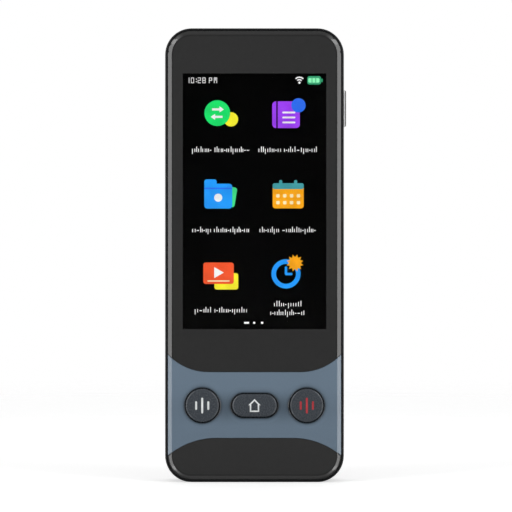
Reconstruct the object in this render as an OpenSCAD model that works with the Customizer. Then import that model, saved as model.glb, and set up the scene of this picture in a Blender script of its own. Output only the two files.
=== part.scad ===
// Handheld voice translator: a bar-shaped body that stands on its foot and faces -Y.
// Pieces are drawn lying down (x across, y up the body, z towards the face) and then stood up.

/* [Body] */
// Width of the body
body_w = 57.5; // [52:0.5:64]
// Height of the body
body_h = 146; // [132:0.5:160]
// Depth of the body
body_d = 12.5; // [11.5:0.1:15]
// Radius of the body's corners, seen from the front
corner_r = 8.5; // [7:0.1:10]
// Width of the dark rim round the front
rim_w = 0.8; // [0.7:0.05:1.1]
// Rounding of the rim's outer edge
rim_round = 0.45; // [0.3:0.05:0.65]
// Rounding of the rear edge
back_round = 1.8; // [1:0.1:2.2]
// Wall of the frame
frame_wall = 1.5; // [1.4:0.1:1.8]
// Thickness of the frame's plate
plate_t = 0.8; // [0.6:0.1:1]
// Wall of the rear cover
rear_wall = 1.3; // [1:0.1:1.6]
// Height of the rear cover's lip inside the frame
lip_h = 1; // [0.8:0.1:1.4]
// Thickness of that lip
lip_t = 0.9; // [0.7:0.1:1.1]

/* [Front] */
// Thickness of the cover glass and of the chin cover
glass_t = 1.1; // [0.9:0.05:1.3]
// Width of the bevel round the front
bevel_w = 1.3; // [0.8:0.1:2]
// Depth of that bevel
bevel_d = 0.7; // [0.4:0.05:0.8]
// Clearance round the front pieces
seam = 0.1; // [0.05:0.01:0.15]
// Thickness of the adhesive under the front pieces
tape_t = 0.15; // [0.1:0.01:0.2]
// Height of the front housing below its ledges
housing_t = 2.1; // [2:0.05:2.4]
// How far the band with the keys reaches above the key line
band_up = 10.8; // [10.5:0.1:13]
// Distance from the side of the body to where the glass's lower edge bends
glass_bend = 14.05; // [12:0.05:16]
// Radius of that bend
glass_arc = 18; // [16:0.5:26]
// How far that band reaches below the key line
band_down = 10.5; // [10.2:0.1:13]
// Distance from the side of the body to where the chin cover's upper edge bends
chin_bend = 16.45; // [13:0.05:18]
// Radius of that bend
chin_arc = 24; // [20:0.5:30]

/* [Display] */
// Distance from the side of the body to the lit window
screen_side = 5.7; // [5.5:0.1:8]
// Height of the lit window's lower edge above the foot
screen_foot = 49.5; // [46:0.1:56]
// Distance from the top of the body to the lit window
screen_top = 14.6; // [13:0.1:15.5]
// Border of the panel beside the window
panel_side = 1.25; // [0.8:0.05:1.3]
// Border of the panel above the window
panel_top = 1.6; // [1:0.1:2]
// Border of the panel below the window
panel_foot = 4.5; // [3.5:0.1:5]
// Thickness of the touch film
film_t = 0.25; // [0.15:0.05:0.3]
// Thickness of the screen panel
panel_t = 1; // [0.8:0.05:1.1]
// Thickness of the foam behind the backlight
foam_t = 0.2; // [0.1:0.05:0.3]
// Clearance round the panel
panel_gap = 0.3; // [0.2:0.05:0.4]

/* [Keys] */
// Height of the key line above the foot
key_y = 24.7; // [22:0.1:26]
// Distance of the talk keys from the side of the body
talk_side = 11.95; // [11.4:0.05:12.4]
// Radius of the talk keys
talk_r = 5.4; // [5:0.05:5.5]
// Radius of the home key's round ends
home_r = 3.65; // [3.4:0.05:3.9]
// Distance between the centres of the home key's ends
home_span = 7.1; // [6:0.1:7.6]
// Clearance between a front key and its hole
key_gap = 0.35; // [0.3:0.01:0.4]
// Height of a key's crown over the face
key_proud = 0.1; // [0:0.05:0.3]
// Radius of the crown
crown_r = 40; // [30:1:60]
// Chamfer at the edge of the keys
key_chamfer = 0.35; // [0.2:0.05:0.5]
// Travel of the front keys
key_travel = 0.3; // [0.2:0.05:0.3]
// Clearance left over the switch when a key is pressed
key_spare = 0.05; // [0.03:0.01:0.08]
// Width of the rolled lip round each key hole
lip_roll = 2; // [1:0.1:2.2]
// Fall of that lip
lip_fall = 0.45; // [0.3:0.05:0.5]
// Thickness of the deck over the keys' flanges
deck_t = 1.6; // [1.5:0.05:1.7]
// Thickness of the keys' flanges
flange_t = 0.6; // [0.5:0.05:0.65]
// How far the flanges reach under the deck
flange_w = 0.5; // [0.4:0.05:0.6]

/* [Side key] */
// Distance from the top of the body to the middle of the side key
side_key_drop = 25.5; // [22:0.5:30]
// Length of the side key
side_key_l = 12; // [9:0.5:14]
// Width of the side key
side_key_w = 2.4; // [2:0.1:2.6]
// How far it stands out
side_key_out = 0.9; // [0.5:0.1:1.2]
// Clearance round the side key
side_key_gap = 0.25; // [0.2:0.01:0.3]
// Travel of the side key
side_key_travel = 0.3; // [0.2:0.05:0.4]

/* [Inside] */
// Height of the main board
main_h = 50.3; // [48:0.1:56]
// Room between the battery and the flat cables beside it
battery_side = 0.65; // [0.4:0.05:3]
// Room behind the battery, in which it may swell
battery_swell = 1.65; // [1.2:0.05:2.5]
// Thickness of the circuit boards
board_t = 0.8; // [0.6:0.05:0.9]
// Side of the square camera module
camera_size = 8.5; // [8:0.1:9]
// Distance of the camera from the side of the body
camera_side = 15.25; // [14.8:0.05:16.2]
// Distance of the camera from the top
camera_drop = 12.5; // [12:0.1:13]
// Distance of the flash below the camera
flash_drop = 9.5; // [9:0.1:10.5]
// Outer radius of the camera ring
ring_r = 5.2; // [4.8:0.1:5.5]
// How far the camera ring stands out
ring_out = 0.4; // [0.2:0.1:0.6]
// Number of speaker slots
slot_count = 9; // [5:1:10]
// Distance between the slots
slot_pitch = 2; // [1.8:0.1:2.2]
// Width of a slot
slot_w = 1; // [0.7:0.1:1.2]
// Length of a slot
slot_l = 8; // [5:0.5:9]
// Distance of the speaker from the middle
speaker_x = 10; // [8:0.5:11]

/* [Inlet] */
// Width of the inlet's shell
inlet_w = 8.94; // [8.9:0.02:9]
// Height of the inlet's shell
inlet_h = 3.26; // [3.2:0.02:3.3]
// Depth of the inlet's shell
inlet_l = 7.3; // [6.8:0.1:8]
// Metal of the inlet's shell
inlet_wall = 0.3; // [0.2:0.05:0.35]
// Clearance between the shell and the frame
inlet_gap = 0.2; // [0.1:0.05:0.3]

/* [Hidden] */
$fn = 64;

flat_arc_fn = 720; // for a shallow arc of a large circle
cut = 1;      // how far a cutting shape runs past what it cuts
sunk = 0.1;   // how far one part of a piece is sunk into the next
fit = 0.1;    // clearance between fixed pieces
seat = 0.3;   // clearance between inner pieces
slack = 0.05; // clearance between a flange and the wall that stops it

// Places that follow from the sizes above
glass_foot = key_y + band_up;
chin_top = key_y - band_down;
glass_flat = body_w / 2 - glass_bend;
chin_flat = body_w / 2 - chin_bend;
talk_x = body_w / 2 - talk_side;
camera_x = body_w / 2 - camera_side;

// Levels, from the face to the back
z_face = body_d / 2;
z_glass = z_face - glass_t;
z_ledge = z_glass - tape_t;
z_plate = z_ledge - housing_t;
z_plate_back = z_plate - plate_t;
z_rim = z_face - bevel_d;
z_back = -body_d / 2;
z_inner = z_back + rear_wall;
z_deck = z_face - deck_t;
rear_inset = frame_wall + fit + lip_t;
tape_inset = rim_w + seam + 0.6;

// The lower board lies over the screw heads, and the inlet behind it sets where the frame ends
screw_head_t = 0.6;
z_charge = z_plate_back - screw_head_t - seat;
z_charge_back = z_charge - board_t;
inlet_z = z_charge_back - inlet_h / 2;
z_join = inlet_z - inlet_h / 2 - inlet_gap - lip_h - 0.14;
rear_round = min(back_round, z_join - z_back - 0.25);

// Display stack
panel_w = body_w - 2 * (screen_side - panel_side);
panel_y0 = screen_foot - panel_foot;
panel_y1 = body_h - screen_top + panel_top;
z_film = z_glass - film_t;
z_panel = z_film - panel_t;
z_foam = z_plate + foam_t;
flex_t = 0.15;
display_flex_w = 12;
display_slot_w = display_flex_w + 1;
display_slot_y = panel_y0 - 2.6;

// Front keys
z_flange = z_deck - slack;
z_flange_foot = z_flange - flange_t;
dome_r = 2.5;
dome_h = 0.3;
nub_r = 1.2;
nub_l = 0.25;
z_nub = z_flange_foot - nub_l;
z_key_board = z_nub - key_travel - key_spare - dome_h;
key_board_w = 2 * (talk_x + talk_r) + 2 * seat;
key_board_h = 17.2;
housing_wall = 1.65;
key_bay_w = body_w - 2 * (rim_w + seam + housing_wall);
key_bay_h = key_board_h + 1.2;
key_window_w = key_board_w + 0.8;
// Each front key: its place across, the length between its round ends and their radius
TALK_LEFT = [-talk_x, 0, talk_r];
HOME = [0, home_span, home_r];
TALK_RIGHT = [talk_x, 0, talk_r];
FRONT_KEYS = [TALK_LEFT, HOME, TALK_RIGHT];
boss_x = (home_span / 2 + home_r + talk_x - talk_r) / 2;
boss_rise = 6.6;
KEY_BOSSES = [for (x = [-boss_x, boss_x], y = [-boss_rise, boss_rise]) [x, key_y + y]];

// Screws
screw_r = 0.6;
screw_head_r = 1.3;
screw_bore = 0.65;
housing_screw_y = key_y + key_bay_h / 2 + screw_head_r + 0.4;
// Distances of the upper, middle and lower screws from the side of the body
HOUSING_SCREW_SIDES = [6.25, 7.75, 8.75];
upper_screw_drop = 6.5;
lower_screw_y = 8.2;
HOUSING_SCREWS = [
    for (side = [-1, 1]) each [
        [side * (body_w / 2 - HOUSING_SCREW_SIDES[0]), body_h - upper_screw_drop],
        [side * (body_w / 2 - HOUSING_SCREW_SIDES[1]), housing_screw_y],
        [side * (body_w / 2 - HOUSING_SCREW_SIDES[2]), lower_screw_y]
    ]
];
housing_screw_grip = 1.5;

// Main board, hung from the top of the frame
gasket_l = 0.7;
main_y1 = body_h - frame_wall - gasket_l - fit;
main_y0 = main_y1 - main_h;
main_w = body_w - 2 * frame_wall - 2.5;
z_main = z_plate_back - 2.2;
z_main_back = z_main - board_t;
side_flange_w = 0.5;
side_key_y = body_h - side_key_drop;
side_key_z = z_plate_back - side_key_w / 2 - side_key_gap - side_flange_w - 0.25;
camera_y = body_h - camera_drop;
flash_y = camera_y - flash_drop;
z_camera = z_main + 0.4;
flash_r = 2;
led_size = [3.2, 3.2, 0.9];
ring_wall = 1;
main_boss_r = 2;
MAIN_SCREWS = [
    for (side = [-1, 1]) each [
        [side * (main_w / 2 - 3), camera_y - 1.8],
        [side * (main_w / 2 - 6), main_y0 + 3]
    ]
];

// Cans and chips on the main board: place across from the board's left edge, height over its foot,
// width, height and thickness
PROCESSOR_CAN = [17, 11, 22, 24, 1.6];
RADIO_CAN = [18, 9, 26, 22, 1.6];
PROCESSOR = [13.5, 13, 12, 12, 1.1];
MEMORY = [24.4, 13, 6, 10, 0.9];
POWER = [14, 14, 7, 7, 0.9];

// Side key and its switch, from outside to inside
x_wall = body_w / 2 - frame_wall;
side_flange_t = 0.65;
x_flange = x_wall - slack - side_flange_t;
x_side_nub = x_flange - 0.3;
x_switch = x_side_nub - side_key_travel - key_spare;
switch_t = 2;
x_side_flex = x_switch - switch_t;
side_flex_t = 0.6;
tab_t = 1;
x_tab = x_side_flex - side_flex_t - tab_t;
tab_l = 9;
side_notch = main_w / 2 - x_tab + 0.4;
switch_l = 4.6;
switch_h = 2.2;

// Lower board and the place of the inlet
charge_y0 = frame_wall + gasket_l + fit;
charge_y1 = key_y - key_bay_h / 2 - seat;
inlet_y = 0.3;
inlet_end = 0.3;
CHARGE_SCREWS = [for (x = [-13, 13]) [x, charge_y1 - 3.8]];

// Microphones, each behind a hole in the frame's wall
mic_size = [3.8, 3, 1.1];
mic_hole_r = 0.55;
mic_drop = frame_wall + gasket_l + mic_size.y / 2;
bottom_mic_x = -15.5;
top_mic_x = -8;
bottom_mic_z = z_charge_back - mic_size.z / 2;
top_mic_z = z_main_back - mic_size.z / 2;

// Flat cables along the two sides, behind the plate
strip_w = 2.2;
strip_x = x_wall - 0.4 - strip_w / 2;
plug_size = [2.2, 6, 0.7];
plug_y = main_y0 + 4;
strip_y1 = plug_y + plug_size.y / 2;
CONNECTORS = [for (side = [-1 : 1]) side * (main_w - plug_size.x) / 2];

// Room between those cables, for the battery, the speaker's box and the lower board
room_w = 2 * strip_x - strip_w;
box_w = room_w - 0.9;
charge_w = box_w - 0.4;
battery_w = room_w - 2 * battery_side;

// Speaker
box_y0 = charge_y1 + 1.1;
box_y1 = housing_screw_y - screw_head_r - 0.2;
z_box = z_plate_back - 0.6;
z_box_back = z_inner + seat;
z_cone = z_box_back + 0.4;
mesh_t = 0.2;
cone_w = slot_count * slot_pitch + 0.4;
cone_h = slot_l + 3;
cone_t = 1.8;
speaker_y = (box_y0 + box_y1) / 2;

// Battery, in its bay between two ribs of the frame
rib_t = 0.7;
bay_y0 = housing_screw_y + screw_head_r + 0.2 + rib_t;
bay_y1 = main_y0 - seat - rib_t;
battery_y0 = bay_y0 + seat;
battery_y1 = bay_y1 - seat;
battery_tape_t = 0.2;
z_battery = z_plate_back - battery_tape_t;
z_battery_back = z_inner + battery_swell;
battery_edge = 1.4;
terrace_l = 4;
terrace_t = 1.2;

// Clips of the rear cover
clip_l = 5;
clip_out = 0.35;
clip_t = 0.6;
clip_end = 20;
clip_count = 4;
clip_pitch = (body_h - 2 * clip_end) / (clip_count - 1);

// ---------- shared shapes ----------

// Stands a piece up: its face looks along -Y and its foot is at the bottom
module upright() {
    rotate([90, 0, 0]) children();
}

// A box between two opposite corners
module span_box(low, high) {
    translate(low) cube(high - low);
}

// Rounded rectangle, centred across and standing on y = 0
module round_rect(w, h, r) {
    translate([-w / 2 + r, 0]) square([w - 2 * r, h]);
    translate([-w / 2, r]) square([w, h - 2 * r]);
    for (x = [-w / 2 + r, w / 2 - r], y = [r, h - r])
        translate([x, y]) circle(r);
}

// The same as a solid, between two levels
module round_block(w, y0, y1, r, z0, z1) {
    translate([0, y0, z0]) linear_extrude(z1 - z0) round_rect(w, y1 - y0, r);
}

// Outline with two round ends, centred
module stadium(w, h) {
    square([w - h, h], center = true);
    for (side = [-1, 1])
        translate([side * (w - h) / 2, 0]) circle(h / 2);
}

// Solid along y, drawn as a section across the body
module along_y(y0, y1) {
    translate([0, y0, 0]) rotate([-90, 0, 0]) linear_extrude(y1 - y0) children();
}

// The body's outline moved inwards, as a solid between two levels
module outline_slab(inset, z0, z1) {
    round_block(body_w - 2 * inset, inset, body_h - inset, corner_r - inset, z0, z1);
}

// Carries an edge section round the body's outline and fills the middle.
// The section's x runs outwards from the centre of the corners.
module outline_sweep(z0, z1) {
    half = body_w / 2 - corner_r;
    corners = [
        [half, body_h - corner_r, 0],
        [-half, body_h - corner_r, 90],
        [-half, corner_r, 180],
        [half, corner_r, 270]
    ];
    for (c = corners)
        translate([c.x, c.y, 0]) rotate(c.z) rotate_extrude(angle = 90) children();
    for (side = [0, 1])
        mirror([side, 0, 0])
            translate([half, body_h - corner_r, 0])
                rotate([90, 0, 0]) linear_extrude(body_h - 2 * corner_r) children();
    for (end = [0, 1])
        translate([0, body_h / 2, 0]) mirror([0, end, 0])
            translate([-half, body_h / 2 - corner_r, 0])
                rotate([90, 0, 90]) linear_extrude(2 * half) children();
    span_box([-half, corner_r, z0], [half, body_h - corner_r, z1]);
}

// Edge section with its outer corner rounded at the z1 end
module rounded_section(z0, z1, round) {
    way = z1 > z0 ? 1 : -1;
    low = min(z0, z1 - way * round);
    high = max(z0, z1 - way * round);
    translate([0, low]) square([corner_r, high - low]);
    translate([0, min(z0, z1)]) square([corner_r - round, abs(z1 - z0)]);
    intersection() {
        translate([corner_r - round, z1 - way * round]) circle(round);
        translate([corner_r - round, min(z1, z1 - way * round)]) square(round);
    }
}

// Edge section of the front pieces, with the bevel
module bevel_section(z0) {
    reach = corner_r - rim_w - seam;
    polygon([
        [0, z0], [reach, z0], [reach, z_face - bevel_d],
        [reach - bevel_w, z_face], [0, z_face]
    ]);
}

// The whole front, before it is parted into glass, band and chin
module front_slab(z0) {
    outline_sweep(z0, z_face) bevel_section(z0);
}

// Everything above the glass's lower edge
module glass_zone(grow, z0, z1) {
    round_block(2 * (glass_flat + glass_arc + grow), glass_foot - grow, glass_foot + 2 * body_h,
        glass_arc + grow, z0, z1);
}

// Everything below the chin cover's upper edge
module chin_zone(grow, z0, z1) {
    round_block(2 * (chin_flat + chin_arc + grow), chin_top - 2 * body_h, chin_top + grow,
        chin_arc + grow, z0, z1);
}

// Carries a section round a key: a full turn for a round key, two half turns and two straights for a long one
module key_sweep(span) {
    if (span == 0) {
        rotate_extrude() children();
    } else {
        for (side = [0, 1])
            mirror([side, 0, 0])
                translate([span / 2, 0, 0]) rotate(-90) rotate_extrude(angle = 180) children();
        for (side = [0, 1])
            mirror([0, side, 0])
                translate([-span / 2, 0, 0]) rotate([90, 0, 90]) linear_extrude(span) children();
    }
}

// Section that cuts the rolled lip round a key hole: it starts at the face with a slope of a few degrees
module lip_section(r) {
    start = 4;
    roll = (pow(lip_roll, 2) + pow(lip_fall, 2)) / (2 * (cos(start) * lip_fall - lip_roll * sin(start)));
    difference() {
        translate([0, z_face - lip_fall]) square([r + lip_roll, lip_fall + cut]);
        translate([r + lip_roll + roll * sin(start), z_face - roll * cos(start)]) circle(roll);
    }
}

// Half section of a key: flange, stem, chamfered edge and crown
module key_section(r, top, crown, foot, shoulder, flange) {
    edge = top + sqrt(pow(crown, 2) - pow(r, 2)) - crown - key_chamfer;
    intersection() {
        polygon([
            [0, foot], [r + flange, foot], [r + flange, shoulder], [r, shoulder],
            [r, edge], [r - 1, edge + 1], [0, edge + 1]
        ]);
        translate([0, top - crown]) circle(crown, $fn = flat_arc_fn);
    }
}

// A screw with its head at the back and its shank towards the face
module screw(length) {
    translate([0, 0, -screw_head_t]) cylinder(r = screw_head_r, h = screw_head_t);
    cylinder(r = screw_r, h = length);
}

// A flat strip of cable between two levels
module strip(x0, x1, y0, y1, z) {
    span_box([x0, y0, z - flex_t], [x1, y1, z]);
}

// Copies to each place of a list
module at(places) {
    for (p = places)
        translate([p.x, p.y, 0]) children();
}

// ---------- outer pieces ----------

module mid_frame() {
    color("#16171a") upright() difference() {
        union() {
            difference() {
                outline_sweep(z_join, z_rim) rounded_section(z_join, z_rim, rim_round);
                outline_slab(rim_w, z_plate, z_rim + cut);
                outline_slab(frame_wall, z_join - cut, z_plate_back);
                round_block(key_window_w, key_y - key_bay_h / 2, key_y + key_bay_h / 2, 1,
                    z_plate_back - cut, z_plate + cut);
            }
            frame_bosses();
        }
        at(HOUSING_SCREWS)
            translate([0, 0, z_plate_back - cut]) cylinder(r = screw_bore, h = plate_t + 2 * cut);
        at(concat(MAIN_SCREWS, CHARGE_SCREWS))
            translate([0, 0, z_main - cut]) cylinder(r = screw_bore, h = z_plate - z_main - 0.3 + cut);
        display_slot();
        frame_ports();
        clips(clip_out + 0.1, clip_t + 0.3, clip_l + 0.6);
    }
}

// What stands on the back of the plate
module frame_bosses() {
    at(MAIN_SCREWS)
        translate([0, 0, z_main]) cylinder(r = main_boss_r, h = z_plate_back - z_main + sunk);
    at(CHARGE_SCREWS)
        translate([0, 0, z_charge]) cylinder(r = 1.8, h = z_plate_back - z_charge + sunk);
    for (y = [bay_y0 - rib_t, bay_y1], side = [0, 1])
        mirror([side, 0, 0])
            span_box([display_flex_w / 2 + 1, y, z_battery - 1.5],
                [battery_w / 2 - 3, y + rib_t, z_plate_back + sunk]);
    camera_half = camera_size / 2 - 0.5;
    span_box([camera_x - camera_half, camera_y - camera_half, z_camera],
        [camera_x + camera_half, camera_y + camera_half, z_plate_back + sunk]);
    span_box([x_tab, side_key_y - tab_l / 2, side_key_z - switch_h / 2],
        [x_tab + tab_t, side_key_y + tab_l / 2, z_plate_back + sunk]);
}

// Slot in the plate for the display's flat cable
module display_slot() {
    half = display_slot_w / 2;
    span_box([-half, display_slot_y - 0.6, z_plate_back - cut], [half, display_slot_y + 0.8, z_plate + cut]);
}

// Openings in the frame's wall: inlet, two microphones and the side key
module frame_ports() {
    translate([0, 0, inlet_z]) along_y(-cut, frame_wall + slack)
        stadium(inlet_w + 2 * inlet_gap, inlet_h + 2 * inlet_gap);
    translate([bottom_mic_x, 0, bottom_mic_z]) along_y(-cut, frame_wall + cut) circle(mic_hole_r);
    translate([top_mic_x, 0, top_mic_z]) along_y(body_h - frame_wall - cut, body_h + cut) circle(mic_hole_r);
    translate([x_wall - cut, side_key_y, side_key_z])
        rotate([90, 0, 90]) linear_extrude(frame_wall + 2 * cut)
            stadium(side_key_l + 2 * side_key_gap, side_key_w + 2 * side_key_gap);
}

// Hooks of the rear cover, or with a little more size the recesses that take them
module clips(out, thick, long) {
    root = 0.4;
    for (side = [-1, 1], i = [0 : clip_count - 1])
        translate([side * (x_wall - fit + (out - root) / 2), clip_end + i * clip_pitch, z_join + lip_h - 0.4])
            cube([out + root, long, thick], center = true);
}

module front_housing() {
    color("#5f7181") upright() difference() {
        union() {
            difference() {
                front_slab(z_plate);
                glass_zone(seam, z_ledge, z_face + cut);
                chin_zone(seam, z_ledge, z_face + cut);
                housing_hollows();
            }
            at(KEY_BOSSES)
                translate([0, 0, z_key_board]) cylinder(r = 1.6, h = z_deck - z_key_board + sunk);
            key_bay_ribs();
        }
        at(KEY_BOSSES)
            translate([0, 0, z_key_board - cut]) cylinder(r = screw_bore, h = z_deck - z_key_board + cut);
        at(HOUSING_SCREWS)
            translate([0, 0, z_plate - cut]) cylinder(r = screw_bore, h = housing_screw_grip + fit + cut);
        for (key = FRONT_KEYS)
            translate([key.x, key_y, 0]) key_opening(key.y, key.z);
    }
}

// Display window, cable notch, key bay and the pockets under the chin
module housing_hollows() {
    span_box([-panel_w / 2 - panel_gap, panel_y0 - panel_gap, z_plate - cut],
        [panel_w / 2 + panel_gap, panel_y1 + panel_gap, z_face]);
    half = display_slot_w / 2;
    span_box([-half, display_slot_y - 0.6, z_plate - cut], [half, panel_y0, z_ledge + cut]);
    round_block(key_bay_w, key_y - key_bay_h / 2, key_y + key_bay_h / 2, 2, z_plate - cut, z_deck);
    pocket_w = 9.6;
    pocket_web = 1.2;
    pocket_y0 = 3.2;
    for (i = [-1 : 1])
        translate([i * (pocket_w + pocket_web), 0, 0])
            round_block(pocket_w, pocket_y0, chin_top - 1.8, 1.2, z_plate - cut, z_ledge - 1);
}

// Low ribs under the deck, between the keys' flanges
module key_bay_ribs() {
    for (side = [-1, 1])
        span_box([side * boss_x - 0.4, key_y - key_bay_h / 2 - sunk, z_deck - 0.5],
            [side * boss_x + 0.4, key_y + key_bay_h / 2 + sunk, z_deck + sunk]);
}

// Key hole through the deck, with its rolled lip
module key_opening(span, r) {
    hole = r + key_gap;
    key_sweep(span) translate([0, z_plate - cut]) square([hole, z_face - z_plate + 2 * cut]);
    key_sweep(span) lip_section(hole);
}

module touch_glass() {
    color("#2f3032") upright() intersection() {
        front_slab(z_glass);
        glass_zone(0, z_glass - cut, z_face + cut);
    }
}

module chin_cover() {
    color("#2f3032") upright() intersection() {
        front_slab(z_glass);
        chin_zone(0, z_glass - cut, z_face + cut);
    }
}

module rear_cover() {
    color("#1d1e21") upright() difference() {
        union() {
            difference() {
                outline_sweep(z_back, z_join) rounded_section(z_join, z_back, rear_round);
                outline_slab(rear_inset, z_inner, z_join + cut);
            }
            difference() {
                outline_slab(frame_wall + fit, z_join - sunk, z_join + lip_h);
                outline_slab(rear_inset, z_join - cut, z_join + lip_h + cut);
            }
            clips(clip_out, clip_t, clip_l);
            rear_ribs();
        }
        translate([camera_x, camera_y, z_back - cut]) cylinder(r = ring_r + slack, h = rear_wall + 2 * cut);
        translate([camera_x, flash_y, z_back - cut]) cylinder(r = flash_r + slack, h = rear_wall + 2 * cut);
        for (i = [0 : slot_count - 1])
            translate([speaker_x + (i - (slot_count - 1) / 2) * slot_pitch, speaker_y, z_back - cut])
                rotate(90) linear_extrude(rear_wall + 2 * cut) stadium(slot_l, slot_w);
    }
}

// Grid of ribs behind the battery
module rear_ribs() {
    z_rib = z_battery_back - 0.4;
    rib_w = 0.9;
    rib_pitch = 16;
    rows = 4;
    row_pitch = (bay_y1 - bay_y0) / rows;
    for (i = [-1 : 1])
        translate([i * rib_pitch, 0, 0])
            span_box([-rib_w / 2, bay_y0 + 2, z_inner - sunk], [rib_w / 2, bay_y1 - 2, z_rib]);
    for (i = [0 : rows - 1])
        translate([0, bay_y0 + (i + 0.5) * row_pitch, 0])
            span_box([-battery_w / 2 + 1, -rib_w / 2, z_inner - sunk], [battery_w / 2 - 1, rib_w / 2, z_rib]);
}

// ---------- display ----------

module display_tape() {
    color("#101010") upright() difference() {
        intersection() {
            outline_slab(tape_inset, z_ledge, z_glass);
            glass_zone(-0.5, z_ledge, z_glass);
        }
        span_box([-panel_w / 2 - panel_gap, display_slot_y - 0.9, z_ledge - cut],
            [panel_w / 2 + panel_gap, panel_y1 + panel_gap, z_glass + cut]);
    }
}

module chin_tape() {
    color("#101010") upright() intersection() {
        outline_slab(tape_inset, z_ledge, z_glass);
        chin_zone(-0.5, z_ledge, z_glass);
    }
}

module touch_sensor() {
    color("#20242a") upright()
        span_box([-panel_w / 2, panel_y0, z_film], [panel_w / 2, panel_y1, z_glass]);
}

module lcd_panel() {
    color("#050505") upright()
        span_box([-panel_w / 2, panel_y0, z_panel], [panel_w / 2, panel_y1, z_film]);
}

module backlight() {
    color("#d9dde0") upright() difference() {
        round_block(panel_w, panel_y0, panel_y1, 0.6, z_foam, z_panel);
        span_box([-panel_w / 2 + panel_side, screen_foot, z_panel - 0.1],
            [panel_w / 2 - panel_side, panel_y1 - panel_top, z_panel + cut]);
    }
}

module display_foam() {
    color("#2a2a2a") upright() difference() {
        foam_frame(1, z_plate, z_foam);
        foam_frame(4, z_plate - cut, z_foam + cut);
    }
}

// The panel's outline, moved inwards
module foam_frame(inset, z0, z1) {
    span_box([-panel_w / 2 + inset, panel_y0 + inset, z0], [panel_w / 2 - inset, panel_y1 - inset, z1]);
}

// From the panel's foot, through the slot and up behind the plate to its plug
module display_flex() {
    half = display_flex_w / 2;
    z_tab = (z_film + z_panel) / 2;
    color("#b0762a") upright() {
        strip(-half, half, display_slot_y, panel_y0, z_tab);
        span_box([-half, display_slot_y, z_plate_back - flex_t], [half, display_slot_y + flex_t, z_tab]);
        strip(-half, half, display_slot_y, bay_y1 + rib_t + 0.5, z_plate_back);
    }
}

// ---------- keys ----------

// A front key: cap with flange, and the nub that presses the dome
module front_key(key) {
    translate([key.x, key_y, 0]) {
        key_sweep(key.y)
            key_section(key.z, z_face + key_proud, crown_r, z_flange_foot, z_flange, key_gap + flange_w);
        translate([0, 0, z_nub]) cylinder(r = nub_r, h = nub_l + sunk);
    }
}

module home_key() {
    color("#3b3f44") upright() front_key(HOME);
}

module left_talk_key() {
    color("#3b3f44") upright() front_key(TALK_LEFT);
}

module right_talk_key() {
    color("#3b3f44") upright() front_key(TALK_RIGHT);
}

module key_board() {
    color("#1f5a3a") upright() difference() {
        round_block(key_board_w, key_y - key_board_h / 2, key_y + key_board_h / 2, 0.8,
            z_key_board - board_t, z_key_board);
        at(KEY_BOSSES)
            translate([0, 0, z_key_board - board_t - cut]) cylinder(r = screw_bore, h = board_t + 2 * cut);
    }
}

// Three shallow snap domes
module key_domes() {
    round = (pow(dome_r, 2) + pow(dome_h, 2)) / (2 * dome_h);
    color("#c9ccd0") upright() for (key = FRONT_KEYS)
        translate([key.x, key_y, z_key_board]) rotate_extrude() intersection() {
            translate([0, dome_h - round]) circle(round, $fn = flat_arc_fn);
            square([dome_r, dome_h]);
        }
}

module key_board_screws() {
    color("#8f9296") upright() at(KEY_BOSSES)
        translate([0, 0, z_key_board - board_t]) screw(board_t + 1.2);
}

// From the key board round the plate's edge and up the left-hand side
module key_flex() {
    z_under = z_key_board - board_t;
    x_bend = -key_board_w / 2 - fit;
    x0 = -strip_x - strip_w / 2;
    x1 = -strip_x + strip_w / 2;
    y0 = key_y + 4.5;
    y1 = y0 + 3;
    color("#b0762a") upright() {
        strip(x_bend, x_bend + 3, y0, y1, z_under);
        span_box([x_bend - flex_t, y0, z_plate_back - flex_t], [x_bend, y1, z_under]);
        strip(x0, x_bend, y0, y1, z_plate_back);
        strip(x0, x1, y0, strip_y1, z_plate_back);
        span_box([x0, strip_y1 - flex_t, z_main + plug_size.z], [x1, strip_y1, z_plate_back]);
        strip(x0, x1, plug_y - 1, strip_y1, z_main + plug_size.z + flex_t);
    }
}

module side_key() {
    out = body_w / 2 + side_key_out;
    crown = 20;
    side_nub_r = 0.9;
    color("#26272a") upright() translate([0, side_key_y, side_key_z]) rotate([90, 0, 90]) {
        key_sweep(side_key_l - side_key_w)
            key_section(side_key_w / 2, out, crown, x_flange, x_flange + side_flange_t,
                side_key_gap + side_flange_w);
        translate([0, 0, x_side_nub]) cylinder(r = side_nub_r, h = x_flange - x_side_nub + sunk);
    }
}

module side_switch() {
    color("#c4c7ca") upright() {
        span_box([x_side_flex, side_key_y - switch_l / 2, side_key_z - switch_h / 2],
            [x_switch - 0.5, side_key_y + switch_l / 2, side_key_z + switch_h / 2]);
        translate([x_switch - 0.6, side_key_y, side_key_z]) rotate([0, 90, 0]) cylinder(r = 0.8, h = 0.6);
    }
}

// Stiffened pad on the frame's tab, with a tail over the main board
module side_flex() {
    foot = side_key_z - switch_h / 2;
    color("#b0762a") upright() {
        span_box([x_side_flex - side_flex_t, side_key_y - tab_l / 2, foot],
            [x_side_flex, side_key_y + tab_l / 2, foot + switch_h]);
        span_box([x_side_flex - side_flex_t, side_key_y - tab_l / 2 - 4, foot],
            [x_side_flex - side_flex_t + flex_t, side_key_y - tab_l / 2, foot + switch_h]);
        span_box([x_tab - 3, side_key_y - tab_l / 2 - 4, z_main],
            [x_side_flex - side_flex_t + flex_t, side_key_y - tab_l / 2 - 1, z_main + flex_t]);
    }
}

// ---------- electronics ----------

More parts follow.
